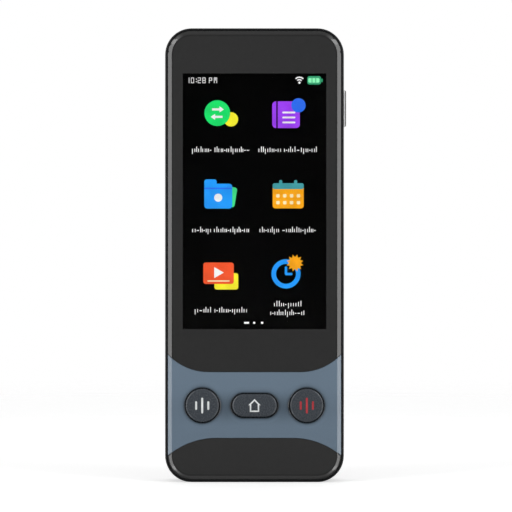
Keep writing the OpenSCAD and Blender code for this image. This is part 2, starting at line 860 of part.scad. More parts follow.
module main_board() {
    gap = 0.4;
    camera_half = camera_size / 2 + gap;
    color("#17462e") upright() difference() {
        round_block(main_w, main_y0, main_y1, corner_r - frame_wall - 1, z_main_back, z_main);
        span_box([camera_x - camera_half, camera_y - camera_half, z_main_back - cut],
            [camera_x + camera_half, camera_y + camera_half, z_main + cut]);
        span_box([main_w / 2 - side_notch, side_key_y - tab_l / 2 - 4.6, z_main_back - cut],
            [main_w / 2 + cut, side_key_y + tab_l / 2 + 0.6, z_main + cut]);
        at(MAIN_SCREWS)
            translate([0, 0, z_main_back - cut]) cylinder(r = screw_bore, h = board_t + 2 * cut);
    }
}

// A block on the main board; way is 1 for its front and -1 for its back
module board_block(part, round, way) {
    z = way > 0 ? z_main : z_main_back - part[4];
    translate([part.x - main_w / 2, 0, 0])
        round_block(part.z, main_y0 + part.y, main_y0 + part.y + part[3], round, z, z + part[4]);
}

// A pressed can: open towards the board, with rounded upright corners
module shield_can(can, way) {
    wall = 0.2;
    hollow = [can.x, can.y + wall, can.z - 2 * wall, can[3] - 2 * wall, can[4]];
    difference() {
        board_block(can, 0.8, way);
        translate([0, 0, -way * wall]) board_block(hollow, 0.6, way);
    }
}

module processor_shield() {
    color("#b9bcc0") upright() shield_can(PROCESSOR_CAN, 1);
}

module radio_shield() {
    color("#b9bcc0") upright() shield_can(RADIO_CAN, -1);
}

module processor() {
    color("#2b2d30") upright() board_block(PROCESSOR, 0.3, 1);
}

module memory_chip() {
    color("#33363a") upright() board_block(MEMORY, 0.3, 1);
}

module power_chip() {
    color("#2b2d30") upright() board_block(POWER, 0.3, -1);
}

module board_connectors() {
    color("#d8d2c0") upright() for (x = CONNECTORS)
        translate([x, plug_y, z_main + plug_size.z / 2]) cube(plug_size, center = true);
}

module board_screws() {
    main_grip = 1.6;
    charge_grip = 1;
    color("#8f9296") upright() {
        at(MAIN_SCREWS) translate([0, 0, z_main_back]) screw(board_t + main_grip);
        at(CHARGE_SCREWS) translate([0, 0, z_charge_back]) screw(board_t + charge_grip);
    }
}

module housing_screws() {
    color("#8f9296") upright() at(HOUSING_SCREWS)
        translate([0, 0, z_plate_back]) screw(plate_t + housing_screw_grip);
}

// Pouch cell: rounded long edges and a thin sealed end
module battery() {
    color("#3f4347") upright() {
        along_y(battery_y0, battery_y1 - terrace_l)
            translate([0, -(z_battery + z_battery_back) / 2]) battery_section(battery_edge);
        span_box([-battery_w / 2 + battery_edge, battery_y1 - terrace_l - sunk, z_battery - terrace_t],
            [battery_w / 2 - battery_edge, battery_y1, z_battery]);
    }
}

// Section across the cell
module battery_section(edge) {
    thick = z_battery - z_battery_back;
    square([battery_w - 2 * edge, thick], center = true);
    square([battery_w, thick - 2 * edge], center = true);
    for (x = [-1, 1], z = [-1, 1])
        translate([x * (battery_w / 2 - edge), z * (thick / 2 - edge)]) circle(edge);
}

// Two strips, with the display's flat cable between them
module battery_tape() {
    half = display_slot_w / 2;
    color("#e8e6df") upright() for (side = [0, 1])
        mirror([side, 0, 0])
            span_box([half, bay_y0 + 3, z_battery], [battery_w / 2 - 4, bay_y1 - 6, z_plate_back]);
}

// Protection board on the cell's sealed end
module battery_lead() {
    lead_w = 6;
    guard_w = 28;
    guard_t = 1.2;
    z_guard = z_battery - terrace_t;
    color("#8a2b2b") upright() {
        span_box([-guard_w / 2, battery_y1 - 3.6, z_guard - guard_t],
            [guard_w / 2, battery_y1 - 0.4, z_guard]);
        span_box([-guard_w / 2, battery_y1 - 0.5, z_main], [lead_w - guard_w / 2, main_y0 + 3, z_main + 0.4]);
    }
}

// ---------- sound ----------

// Closed sound box; its cone looks out of the back
module speaker_box() {
    ear_w = 1.2;
    ear_l = 8;
    color("#232427") upright() {
        difference() {
            round_block(box_w, box_y0, box_y1, 1.5, z_box_back, z_box);
            translate([speaker_x, speaker_y, z_box_back - cut])
                linear_extrude(cut + z_cone - z_box_back + cone_t)
                    stadium(cone_w + 2 * fit, cone_h + 2 * fit);
        }
        for (side = [-1, 1])
            translate([side * (box_w - ear_w) / 2, box_y0 + 0.9, 0])
                span_box([-ear_w / 2, 0, z_box - sunk], [ear_w / 2, ear_l, z_plate_back]);
    }
}

// Cone with a raised middle, in its frame
module speaker_cone() {
    raised = 0.25;
    surround_w = 2;
    color("#3a3c40") upright() translate([speaker_x, speaker_y, z_cone]) {
        linear_extrude(cone_t) stadium(cone_w, cone_h);
        translate([0, 0, -raised])
            linear_extrude(raised + sunk) stadium(cone_w - 2 * surround_w, cone_h - 2 * surround_w);
    }
}

module speaker_mesh() {
    color("#0d0d0e") upright() translate([speaker_x, speaker_y, z_inner])
        linear_extrude(mesh_t) stadium(cone_w - 0.6, cone_h - 0.6);
}

module microphones() {
    color("#c8b070") upright() {
        translate([bottom_mic_x, mic_drop, bottom_mic_z]) cube(mic_size, center = true);
        translate([top_mic_x, body_h - mic_drop, top_mic_z]) cube(mic_size, center = true);
    }
}

module mic_gaskets() {
    color("#1a1a1a") upright() {
        translate([bottom_mic_x, 0, bottom_mic_z]) along_y(frame_wall, frame_wall + gasket_l) gasket_ring();
        translate([top_mic_x, 0, top_mic_z])
            along_y(body_h - frame_wall - gasket_l, body_h - frame_wall) gasket_ring();
    }
}

module gasket_ring() {
    difference() {
        circle(1.05);
        circle(mic_hole_r);
    }
}

// ---------- camera ----------

module camera_module() {
    z_body = z_camera - 2.4;
    barrel_r = 3.1;
    color("#1b1c1f") upright() translate([camera_x, camera_y, 0]) {
        span_box([-camera_size / 2, -camera_size / 2, z_body], [camera_size / 2, camera_size / 2, z_camera]);
        translate([0, 0, z_inner + fit]) cylinder(r = barrel_r, h = z_body - z_inner - fit + sunk);
    }
}

// Turned trim ring with a ledge for the window and a flange inside the cover
module camera_ring() {
    window_r = ring_r - ring_wall;
    color("#8f9397") upright() translate([camera_x, camera_y, 0]) rotate_extrude() polygon([
        [window_r, z_back - ring_out + 0.3], [window_r + 0.15, z_back - ring_out],
        [ring_r - 0.25, z_back - ring_out], [ring_r, z_back - ring_out + 0.25],
        [ring_r, z_inner], [window_r - 0.6, z_inner], [window_r - 0.6, z_inner - 0.4],
        [window_r, z_inner - 0.4]
    ]);
}

module camera_window() {
    color("#0b0d12") upright() translate([camera_x, camera_y, z_back - ring_out + 0.35])
        cylinder(r = ring_r - ring_wall - slack, h = rear_wall + ring_out - 0.8);
}

module flash_led() {
    color("#f2e7a0") upright()
        translate([camera_x, flash_y, z_main_back - led_size.z / 2]) cube(led_size, center = true);
}

module flash_lens() {
    z_lamp = z_main_back - led_size.z;
    flange_out = 0.8;
    pipe_r = 1.3;
    color("#e9ecef") upright() translate([camera_x, flash_y, 0]) {
        translate([0, 0, z_back]) cylinder(r = flash_r, h = rear_wall);
        translate([0, 0, z_inner]) cylinder(r = flash_r + flange_out, h = 0.4);
        translate([0, 0, z_inner]) cylinder(r = pipe_r, h = z_lamp - seat - z_inner);
    }
}

module antenna_flex() {
    antenna_side = 15.75;
    antenna_w = 20;
    antenna_h = 22;
    antenna_drop = 8;
    antenna_y1 = body_h - antenna_drop;
    antenna_y0 = antenna_y1 - antenna_h;
    track = 3.5;
    color("#b0762a") upright() translate([antenna_side - body_w / 2, 0, 0]) difference() {
        round_block(antenna_w, antenna_y0, antenna_y1, 1, z_inner, z_inner + flex_t);
        round_block(antenna_w - 2 * track, antenna_y0 + track, antenna_y1 - track, 1,
            z_inner - cut, z_inner + cut);
    }
}

// ---------- lower board ----------

module charge_board() {
    color("#17462e") upright() difference() {
        round_block(charge_w, charge_y0, charge_y1, 5, z_charge_back, z_charge);
        at(CHARGE_SCREWS)
            translate([0, 0, z_charge_back - cut]) cylinder(r = screw_bore, h = board_t + 2 * cut);
    }
}

module usb_shell() {
    color("#b9bcc0") upright() translate([0, 0, inlet_z]) difference() {
        along_y(inlet_y, inlet_y + inlet_l) stadium(inlet_w, inlet_h);
        along_y(inlet_y - cut, inlet_y + inlet_l - inlet_end)
            stadium(inlet_w - 2 * inlet_wall, inlet_h - 2 * inlet_wall);
    }
}

module usb_tongue() {
    tongue_w = 6.7;
    tongue_t = 0.7;
    root_l = 1.6;
    y_end = inlet_y + inlet_l - inlet_end;
    color("#1a1b1d") upright() translate([0, 0, inlet_z]) {
        span_box([-tongue_w / 2, inlet_y + 0.7, -tongue_t / 2], [tongue_w / 2, y_end, tongue_t / 2]);
        along_y(y_end - root_l, y_end)
            stadium(inlet_w - 2 * inlet_wall - fit, inlet_h - 2 * inlet_wall - fit);
    }
}

// From the lower board up the right-hand side to the main board
module link_flex() {
    x0 = strip_x - strip_w / 2;
    x1 = strip_x + strip_w / 2;
    y0 = charge_y1 - 1;
    color("#b0762a") upright() {
        strip(charge_w / 2 - 5, x1, y0 - 3, y0, z_charge + flex_t);
        span_box([x0, y0 - flex_t, z_charge], [x1, y0, z_plate_back]);
        strip(x0, x1, y0 - flex_t, strip_y1, z_plate_back);
        span_box([x0, strip_y1 - flex_t, z_main + plug_size.z], [x1, strip_y1, z_plate_back]);
        strip(x0, x1, plug_y - 1, strip_y1, z_main + plug_size.z + flex_t);
    }
}

mid_frame();
front_housing();
touch_glass();
chin_cover();
rear_cover();
display_tape();
chin_tape();
touch_sensor();
lcd_panel();
backlight();
display_foam();
display_flex();
home_key();
left_talk_key();
right_talk_key();
key_board();
key_domes();
key_board_screws();
key_flex();
side_key();
side_switch();
side_flex();
main_board();
processor_shield();
radio_shield();
processor();
memory_chip();
power_chip();
board_connectors();
board_screws();
housing_screws();
battery();
battery_tape();
battery_lead();
speaker_box();
speaker_cone();
speaker_mesh();
camera_module();
camera_ring();
camera_window();
flash_led();
flash_lens();
charge_board();
usb_shell();
usb_tongue();
link_flex();
microphones();
mic_gaskets();
antenna_flex();
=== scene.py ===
"""Looks of a handheld translator: its finishes, lit screen, key legends and small visible details.

Pieces are drawn lying down, in millimetres (x across, y up the body, z towards the face), and stood up
in metres when they are done.
"""

from math import cos, pi, radians, sin, sqrt

import bmesh
import bpy
from bpy.props import FloatProperty, FloatVectorProperty, PointerProperty
from mathutils import Matrix, Vector


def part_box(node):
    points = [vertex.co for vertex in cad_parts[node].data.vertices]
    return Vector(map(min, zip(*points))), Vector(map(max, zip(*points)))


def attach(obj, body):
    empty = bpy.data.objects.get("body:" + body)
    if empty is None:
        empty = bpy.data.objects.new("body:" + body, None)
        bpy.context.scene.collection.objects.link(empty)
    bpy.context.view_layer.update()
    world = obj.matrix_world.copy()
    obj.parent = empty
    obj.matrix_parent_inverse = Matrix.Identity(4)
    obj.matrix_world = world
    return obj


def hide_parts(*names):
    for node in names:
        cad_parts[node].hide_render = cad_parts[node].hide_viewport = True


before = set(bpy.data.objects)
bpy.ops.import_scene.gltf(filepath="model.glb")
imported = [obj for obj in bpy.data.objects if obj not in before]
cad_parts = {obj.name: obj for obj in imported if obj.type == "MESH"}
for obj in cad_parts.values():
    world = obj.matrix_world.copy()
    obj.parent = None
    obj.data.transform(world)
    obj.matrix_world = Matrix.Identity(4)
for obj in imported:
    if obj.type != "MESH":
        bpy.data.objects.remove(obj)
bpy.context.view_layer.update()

bl_info = {
    "name": "Handheld translator",
    "version": (1, 0, 0),
    "blender": (4, 5, 0),
    "location": "3D View > Sidebar > Translator",
    "description": "Dresses the translator's solids with their finishes, screen and legends",
    "category": "Object",
}

MM = 0.001
STAND_UP = Matrix.Rotation(pi / 2, 4, "X") @ Matrix.Scale(MM, 4)

# How near two corners are one, in metres on a solid and in millimetres on a drawn shape, and how far two
# faces may lean apart and still be one
MERGE = 2e-6
MERGE_DRAWN = 1e-5
FLAT = radians(0.02)

# Sizes in millimetres that the solids' boxes don't give: a front key's flange and the gap round its cap, how
# far the edges of the glass and the chin are softened, and the room in front of the screen's film where its
# picture lies
KEY_FLANGE = 0.85
KEY_GAP = 0.35
GLASS_RIM = 0.06
PICTURE_ROOM = 0.1

FRONT_KEYS = ("left_talk_key", "home_key", "right_talk_key")


def srgb(code):
    """Linear colour of a hex code such as #5f7181."""
    parts = [int(code[i : i + 2], 16) / 255 for i in (1, 3, 5)]
    return tuple(p / 12.92 if p <= 0.04045 else ((p + 0.055) / 1.055) ** 2.4 for p in parts)


def flat_box(node):
    """Lowest and highest corner of a CAD node in millimetres, as it lies while it is drawn."""
    low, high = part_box(node)
    return Vector((low.x, low.z, -high.y)) / MM, Vector((high.x, high.z, -low.y)) / MM


def centre(node):
    """Middle of a CAD node as it lies while it is drawn."""
    low, high = flat_box(node)
    return (low + high) / 2


def standing(point):
    """How far across and up the standing body a drawn point is, in metres."""
    return Vector((point.x, 0, point.y)) * MM


def key_outline(name):
    """Radius of a front key's cap, and how far the middles of its two ends are from the key's own."""
    low, high = flat_box(name)
    half = (high - low) / 2
    return half.y - KEY_FLANGE, round(half.x - half.y, 2)


# ---------- settings ----------


def colour(name, code, description):
    return FloatVectorProperty(
        name=name, description=description, subtype="COLOR", size=3, min=0, max=1, default=srgb(code)
    )


def length(name, millimetres, description):
    return FloatProperty(
        name=name, description=description, subtype="DISTANCE", unit="LENGTH", precision=5,
        default=millimetres * MM, min=0,
    )


def share(name, value, description):
    return FloatProperty(name=name, description=description, subtype="FACTOR", default=value, min=0, max=1)


class BodyFinish(bpy.types.PropertyGroup):
    """Colours and surface of the body and its keys"""

    glass: colour("Cover glass", "#353535", "Print behind the border of the cover glass")
    # Painted light: the chin is painted a little lighter than the print behind the glass, to make up for the
    # dimmer light at the foot of the front
    chin: colour("Chin", "#393939", "Dark cover at the foot of the front")
    band: colour("Band", "#6c7d8d", "Moulding that carries the keys")
    rim: colour("Rim", "#101113", "Frame seen round the front")
    rear: colour("Rear", "#1d1e21", "Rear cover")
    keys: colour("Keys", "#464b51", "Caps of the three front keys")
    side_key: colour("Side key", "#121314", "Key on the right-hand side")
    # Painted reflection: a pale colour that stands for the white surroundings mirrored on the side key next
    # to the body
    side_root: colour("Root of the side key", "#fafafa", "Pale part of the side key next to the body")
    softness: length("Edge softness", 0.08, "Radius of the softened edges")
    wear: share("Wear", 0.25, "How far edges are rubbed pale")
    dust: share("Dust", 0.05, "Dust on faces that look up")


class ScreenLayout(bpy.types.PropertyGroup):
    """What the lit screen shows"""

    side: length("Side border", 1.25, "Border of the panel beside the lit window")
    top: length("Top border", 1.6, "Border of the panel above the lit window")
    foot: length("Foot border", 4.25, "Border of the panel below the lit window")
    column: length("Column", 10.75, "Distance of the columns of icons from their middle")
    row: length("Row", 25.8, "Distance between the rows of icons")
    first_row: length("First row", 12.8, "Distance of the first icons from the top of the window")
    caption_drop: length("Caption drop", 12.4, "Distance of a caption below its icon")
    green: colour("Green", "#12e26a", "Green of the icons")
    yellow: colour("Yellow", "#fdf22e", "Yellow of the icons")
    purple: colour("Purple", "#9b3df0", "Purple of the icons")
    blue: colour("Blue", "#2a6ff5", "Deep blue of the icons")
    sky: colour("Sky", "#1e9bff", "Light blue of the icons")
    leaf: colour("Leaf", "#3ddc84", "Pale green of the icons")
    orange: colour("Orange", "#fba80f", "Orange of the icons")
    teal: colour("Teal", "#3f9aa0", "Teal of the icons")
    red: colour("Red", "#f4562a", "Orange-red of the icons")
    pale: colour("Pale", "#ffe9b8", "Pale strokes of the icons")
    text: colour("Text", "#f4f4f4", "Captions and marks")
    cell: colour("Cell", "#2f9e6d", "Body of the charge mark")
    charge: colour("Charge", "#8cf2b6", "Bars of the charge mark")
    black: colour("Unlit", "#000000", "The screen where nothing is lit")


class LegendShape(bpy.types.PropertyGroup):
    """Legends on the front keys"""

    bar_width: length("Bar width", 0.65, "Width of the bars on the talk keys")
    bar_long: length("Long bar", 5.1, "Length of the middle bar")
    bar_short: length("Short bars", 2.8, "Length of the bars beside it")
    bar_pitch: length("Bar pitch", 1.95, "Distance between the bars")
    line: length("House line", 0.46, "Line width of the house")
    ink: length("Ink", 0.02, "Height of a legend over its key")
    crown: length("Crown", 40, "Radius of the crown of a front key")
    white: colour("White", "#f2f6f5", "Legends of the left key and the home key")
    red: colour("Red", "#c23a42", "Legend of the right key")


class StageLight(bpy.types.PropertyGroup):
    """Camera, lamps and floor"""

    lens: FloatProperty(name="Lens", description="Focal length in millimetres", default=150, min=20)
    distance: length("Distance", 685.3, "From the camera to the face of the body")
    rise: length("Height", 72.74, "Height of the camera over the floor")
    aside: length("Aside", 0.48, "How far the camera stands to the right")
    fill: FloatProperty(name="Fill", description="Strength of the even light from all round", default=0.4)
    strip: FloatProperty(name="Strips", description="Radiance of the two tall lamps", default=3.9)
    strip_turn: FloatProperty(
        name="Strip angle", description="Angle of the tall lamps from the way the face looks",
        subtype="ANGLE", default=radians(57),
    )
    top: FloatProperty(name="Top lamp", description="Radiance of the lamp overhead", default=0.9)
    floor: length("Floor", 600, "Radius at which the floor has faded out")


def settings(group):
    """The scene's values of one group: finish, screen, legends or stage."""
    return getattr(bpy.context.scene, "translator_" + group)


# ---------- nodes of the materials ----------


def put(tree, kind, inputs=None, **values):
    """Adds a node. An input is given another node's socket or a plain value."""
    node = tree.nodes.new(kind)
    for name, value in values.items():
        setattr(node, name, value)
    for name, value in (inputs or {}).items():
        if isinstance(value, bpy.types.NodeSocket):
            tree.links.new(value, node.inputs[name])
        else:
            node.inputs[name].default_value = value
    return node


def calc(tree, operation, value, *others):
    """Works through sockets and plain values from left to right."""
    for other in others or (0.0,):
        value = put(tree, "ShaderNodeMath", {0: value, 1: other}, operation=operation).outputs[0]
    return value


def plus(tree, *values):
    return calc(tree, "ADD", *values)


def minus(tree, *values):
    return calc(tree, "SUBTRACT", *values)


def times(tree, *values):
    return calc(tree, "MULTIPLY", *values)


def unsigned(tree, value):
    return calc(tree, "ABSOLUTE", value)


def from_axis(tree, across, along):
    """How far a point is from the origin of its two coordinates."""
    return calc(tree, "SQRT", plus(tree, times(tree, across, across), times(tree, along, along)))


def blend(tree, factor, a, b):
    """Colour between a and b."""
    a, b = (c if isinstance(c, bpy.types.NodeSocket) else (*c[:3], 1) for c in (a, b))
    return put(tree, "ShaderNodeMix", {0: factor, 6: a, 7: b}, data_type="RGBA").outputs[2]


def stretch(tree, value, low, high, to_low=0.0, to_high=1.0):
    """Spreads the part of a value between low and high over a new range, with soft ends."""
    inputs = {"Value": value, "From Min": low, "From Max": high, "To Min": to_low, "To Max": to_high}
    return put(tree, "ShaderNodeMapRange", inputs, interpolation_type="SMOOTHSTEP").outputs["Result"]


def noise(tree, vector, scale, detail=2.0, distortion=0.0):
    """Cloudy values about a half, with so many clouds to the metre."""
    inputs = {"Vector": vector, "Scale": scale, "Detail": detail, "Distortion": distortion}
    return put(tree, "ShaderNodeTexNoise", inputs).outputs["Fac"]


def object_place(tree):
    return put(tree, "ShaderNodeTexCoord").outputs["Object"]


def moved(tree, vector, location=(0, 0, 0), scale=(1, 1, 1)):
    """Coordinates moved and stretched."""
    inputs = {"Vector": vector, "Location": location, "Scale": scale}
    return put(tree, "ShaderNodeMapping", inputs).outputs["Vector"]


def axes(tree, vector):
    return put(tree, "ShaderNodeSeparateXYZ", {"Vector": vector}).outputs


def shade(base, factor):
    """A colour made lighter or darker."""
    return tuple(min(1.0, c * factor) for c in base[:3])


def effect(**inputs):
    """Makes a shared node group of the function below it, built the first time that a material uses it."""

    def wrap(wire):
        def build():
            group = bpy.data.node_groups.new(wire.__name__, "ShaderNodeTree")
            for label, value in inputs.items():
                kind = "NodeSocketVector" if value is None else "NodeSocketFloat"
                socket = group.interface.new_socket(label, in_out="INPUT", socket_type=kind)
                if value is not None:
                    socket.default_value = value
            given = put(group, "NodeGroupInput").outputs
            made = wire(group, given)
            for label in made:
                group.interface.new_socket(label, in_out="OUTPUT", socket_type="NodeSocketFloat")
            put(group, "NodeGroupOutput", made)
            return group

        def use(tree, **values):
            group = bpy.data.node_groups.get(wire.__name__) or build()
            return put(tree, "ShaderNodeGroup", values, node_tree=group).outputs

        return use

    return wrap


@effect(Vector=None, Scale=2500.0)
def moulded_grain(tree, given):
    """Fine grain of a moulding, and a slow change of tone across it."""
    fine = noise(tree, given["Vector"], given["Scale"], detail=3.0)
    slow = noise(tree, given["Vector"], times(tree, given["Scale"], 0.04), detail=2.0)
    flecks = stretch(tree, fine, 0.35, 0.65)
    tone = plus(tree, times(tree, flecks, 0.35), times(tree, slow, 0.65))
    return {"Height": fine, "Tone": stretch(tree, tone, 0.3, 0.7)}


@effect(Vector=None, Reach=0.53)
def rubbed_edge(tree, given):
    """Where a sharp outer edge has been rubbed, broken up by noise."""
    point = put(tree, "ShaderNodeNewGeometry").outputs["Pointiness"]
    sharp = stretch(tree, point, given["Reach"], plus(tree, given["Reach"], 0.08))
    patches = stretch(tree, noise(tree, given["Vector"], 380.0, detail=4.0), 0.42, 0.7)
    return {"Mask": times(tree, sharp, patches)}


@effect(Vector=None)
def settled_dust(tree, given):
    """Dust on faces that look up."""
    up = axes(tree, put(tree, "ShaderNodeNewGeometry").outputs["Normal"])["Z"]
    specks = stretch(tree, noise(tree, given["Vector"], 1800.0, detail=4.0), 0.45, 0.75)
    return {"Mask": times(tree, stretch(tree, up, 0.2, 1.0), specks)}


@effect(Vector=None, Scale=45.0)
def finger_smudges(tree, given):
    """Soft smears that a thumb leaves on polished glass."""
    smear = noise(tree, given["Vector"], given["Scale"], detail=3.0, distortion=1.4)
    ridges = noise(tree, given["Vector"], times(tree, given["Scale"], 30.0), detail=1.0)
    patch = stretch(tree, smear, 0.48, 0.72)
    return {"Mask": times(tree, patch, plus(tree, times(tree, ridges, 0.5), 0.5))}


@effect(Vector=None, Scale=1.0)
def drawn_lines(tree, given):
    """Long fine lines along x, as drawn or brushed metal has."""
    long_in_x = moved(tree, given["Vector"], scale=(90.0, 9000.0, 9000.0))
    return {"Height": noise(tree, long_in_x, given["Scale"], detail=3.0)}


@effect(Vector=None, Pitch=0.00012)
def turned_rings(tree, given):
    """Concentric tool marks round the y axis."""
    part = axes(tree, given["Vector"])
    turns = calc(tree, "DIVIDE", from_axis(tree, part["X"], part["Z"]), given["Pitch"])
    uneven = noise(tree, given["Vector"], 600.0)
    wave = calc(tree, "SINE", times(tree, plus(tree, turns, uneven), 2 * pi))
    return {"Height": plus(tree, times(tree, wave, 0.5), 0.5)}


@effect(Vector=None, Pitch=0.0003)
def woven_cloth(tree, given):
    """Over-and-under weave in the plane of the face."""
    part = axes(tree, given["Vector"])
    turn = calc(tree, "DIVIDE", pi, given["Pitch"])
    across = calc(tree, "SINE", times(tree, part["X"], turn))
    along = calc(tree, "SINE", times(tree, part["Z"], turn))
    return {"Height": unsigned(tree, times(tree, across, along))}


@effect(Vector=None, HalfWidth=0.02, HalfHeight=0.06, Corner=0.008, Inset=0.0, Soft=0.0003)
def inset_line(tree, given):
    """A soft line that runs inside a rounded outline, centred on the vector's origin."""
    part = axes(tree, given["Vector"])
    past = []
    for axis, half in (("X", "HalfWidth"), ("Z", "HalfHeight")):
        straight_to = minus(tree, given[half], given["Corner"])
        past.append(minus(tree, unsigned(tree, part[axis]), straight_to))
    corner = from_axis(tree, *(calc(tree, "MAXIMUM", value, 0.0) for value in past))
    straight = calc(tree, "MINIMUM", calc(tree, "MAXIMUM", *past), 0.0)
    depth = minus(tree, given["Corner"], plus(tree, corner, straight))
    off = unsigned(tree, minus(tree, depth, given["Inset"]))
    return {"Mask": stretch(tree, off, 0.0, given["Soft"], 1.0, 0.0)}


@effect(Vector=None, Spine=0.0, Radius=0.005, Fade=0.0022)
def round_the_hole(tree, given):
    """Full at a round or long hole's edge, fading out around it."""
    part = axes(tree, given["Vector"])
    past_spine = minus(tree, unsigned(tree, part["X"]), given["Spine"])
    across = calc(tree, "MAXIMUM", past_spine, 0.0)
    away = minus(tree, from_axis(tree, across, part["Z"]), given["Radius"])
    return {"Mask": stretch(tree, away, 0.0, given["Fade"], 1.0, 0.0)}


@effect(Vector=None, Pitch=0.000288)
def screen_dots(tree, given):
    """Rows and columns of a screen's picture cells."""
    part = axes(tree, given["Vector"])
    turn = calc(tree, "DIVIDE", 2 * pi, given["Pitch"])
    across = calc(tree, "COSINE", times(tree, part["X"], turn))
    along = calc(tree, "COSINE", times(tree, part["Z"], turn))
    both = calc(tree, "MAXIMUM", across, along)
    return {"Mask": stretch(tree, both, 0.6, 1.0)}


# ---------- materials ----------


def new_material(name, **sockets):
    """A material, its nodes, shader and Object coordinates. Even values stand on the shader's sockets."""
    material = bpy.data.materials.new(name)
    material.use_nodes = True
    tree = material.node_tree
    shader = tree.nodes["Principled BSDF"]
    for label, value in sockets.items():
        shader.inputs[label.replace("_", " ")].default_value = value
    return material, tree, shader, object_place(tree)


def finished(material):
    """Nodes, shader, Object coordinates and present colour of a material that is made."""
    tree = material.node_tree
    shader = tree.nodes["Principled BSDF"]
    return tree, shader, object_place(tree), shader.inputs["Base Color"].links[0].from_socket


def lead(tree, shader, **values):
    """Links values that change over the surface to the shader."""
    for label, socket in values.items():
        tree.links.new(socket, shader.inputs[label.replace("_", " ")])


def bump(tree, height, depth):
    """Bump whose full height is depth millimetres."""
    inputs = {"Height": height, "Distance": depth * MM, "Strength": 1.0}
    return put(tree, "ShaderNodeBump", inputs).outputs["Normal"]


def moulded(
    name, base, roughness=0.5, grain=2500.0, relief=0.01, spread=0.06, wear=None, dust=None, **sockets
):
    """Moulded plastic: fine grain, slow change of tone, rubbed edges and a little dust."""
    finish = settings("finish")
    material, tree, shader, place = new_material(name, **sockets)
    texture = moulded_grain(tree, Vector=place, Scale=grain)
    worn = rubbed_edge(tree, Vector=place)["Mask"]
    rubbed = times(tree, worn, finish.wear if wear is None else wear)
    dusty = settled_dust(tree, Vector=place)["Mask"]
    settled = times(tree, dusty, finish.dust if dust is None else dust)
    rubbed_pale = [c * 0.6 + 0.12 for c in base[:3]]
    tinted = blend(tree, texture["Tone"], shade(base, 1 - spread), shade(base, 1 + spread))
    tinted = blend(tree, rubbed, tinted, rubbed_pale)
    tinted = blend(tree, settled, tinted, srgb("#a8a49c"))
    gloss = stretch(tree, texture["Tone"], 0.0, 1.0, roughness + 0.05, roughness - 0.05)
    gloss = minus(tree, gloss, times(tree, rubbed, 0.3))
    lead(tree, shader, Base_Color=tinted, Roughness=gloss, Normal=bump(tree, texture["Height"], relief))
    return material


def polished(name, base, edge, roughness=0.07):
    """Dark polished front: smudges, and painted shade: a thin dark line painted where the bevel begins."""
    material, tree, shader, place = new_material(name)
    smudge = finger_smudges(tree, Vector=place)["Mask"]
    tone = moulded_grain(tree, Vector=place, Scale=700.0)["Tone"]
    tinted = blend(tree, tone, shade(base, 0.985), shade(base, 1.015))
    middle, half_width, half_height, corner, inset = edge
    line = inset_line(
        tree, Vector=moved(tree, place, (0, 0, -middle)), HalfWidth=half_width, HalfHeight=half_height,
        Corner=corner, Inset=inset, Soft=0.0005,
    )["Mask"]
    # Painted shade: a thin dark line along the inner edge of the bevel
    tinted = blend(tree, times(tree, line, 0.4), tinted, shade(base, 0.35))
    gloss = plus(tree, times(tree, smudge, 0.09), roughness)
    lead(tree, shader, Base_Color=tinted, Roughness=gloss)
    return material


def metal(name, base, roughness=0.3, turned_at=None):
    """Bare or plated metal with drawn lines, or with turned rings round a point."""
    material, tree, shader, place = new_material(name, Metallic=1.0)
    if turned_at:
        height = turned_rings(tree, Vector=moved(tree, place, -turned_at))["Height"]
    else:
        height = drawn_lines(tree, Vector=place)["Height"]
    tint = moulded_grain(tree, Vector=place, Scale=1200.0)["Tone"]
    even = times(tree, plus(tree, tint, height), 0.5)
    tone = blend(tree, even, shade(base, 0.88), base)
    gloss = stretch(tree, height, 0.3, 0.8, roughness + 0.06, roughness - 0.06)
    lead(tree, shader, Base_Color=tone, Roughness=gloss, Normal=bump(tree, height, 0.004))
    return material


def soft_sheet(name, base, grain=5000.0, relief=0.02):
    """Foam, adhesive or rubber: matt, with open pores."""
    material, tree, shader, place = new_material(name, Specular_IOR_Level=0.3)
    cells = put(tree, "ShaderNodeTexVoronoi", {"Vector": place, "Scale": grain}).outputs["Distance"]
    tone = stretch(tree, cells, 0.0, 0.8)
    tinted = blend(tree, tone, shade(base, 0.75), shade(base, 1.1))
    gloss = stretch(tree, tone, 0.0, 1.0, 0.9, 0.75)
    lead(tree, shader, Base_Color=tinted, Roughness=gloss, Normal=bump(tree, cells, relief))
    return material


def traced(name, base, line, pitch):
    """Laminate or cable with conductor tracks under its skin."""
    material, tree, shader, place = new_material(name)
    part = axes(tree, place)
    bend = times(tree, noise(tree, place, 160.0), 3.0 * pitch)
    rows = calc(tree, "SINE", times(tree, plus(tree, part["X"], bend), 2 * pi / pitch))
    tracks = stretch(tree, rows, 0.1, 0.6)
    tone = moulded_grain(tree, Vector=place, Scale=900.0)["Tone"]
    ground = blend(tree, tone, shade(base, 0.85), shade(base, 1.12))
    tinted = blend(tree, times(tree, tracks, 0.35), ground, line)
    gloss = stretch(tree, tone, 0.0, 1.0, 0.46, 0.34)
    lead(tree, shader, Base_Color=tinted, Roughness=gloss, Normal=bump(tree, tracks, 0.008))
    return material


def cloth(name, base, pitch):
    """Woven cloth with a faint sheen."""
    material, tree, shader, place = new_material(name, Sheen_Weight=0.25)
    height = woven_cloth(tree, Vector=place, Pitch=pitch)["Height"]
    tinted = blend(tree, height, shade(base, 0.4), shade(base, 1.5))
    gloss = stretch(tree, height, 0.0, 1.0, 0.95, 0.75)
    lead(tree, shader, Base_Color=tinted, Roughness=gloss, Normal=bump(tree, height, 0.05))
    return material


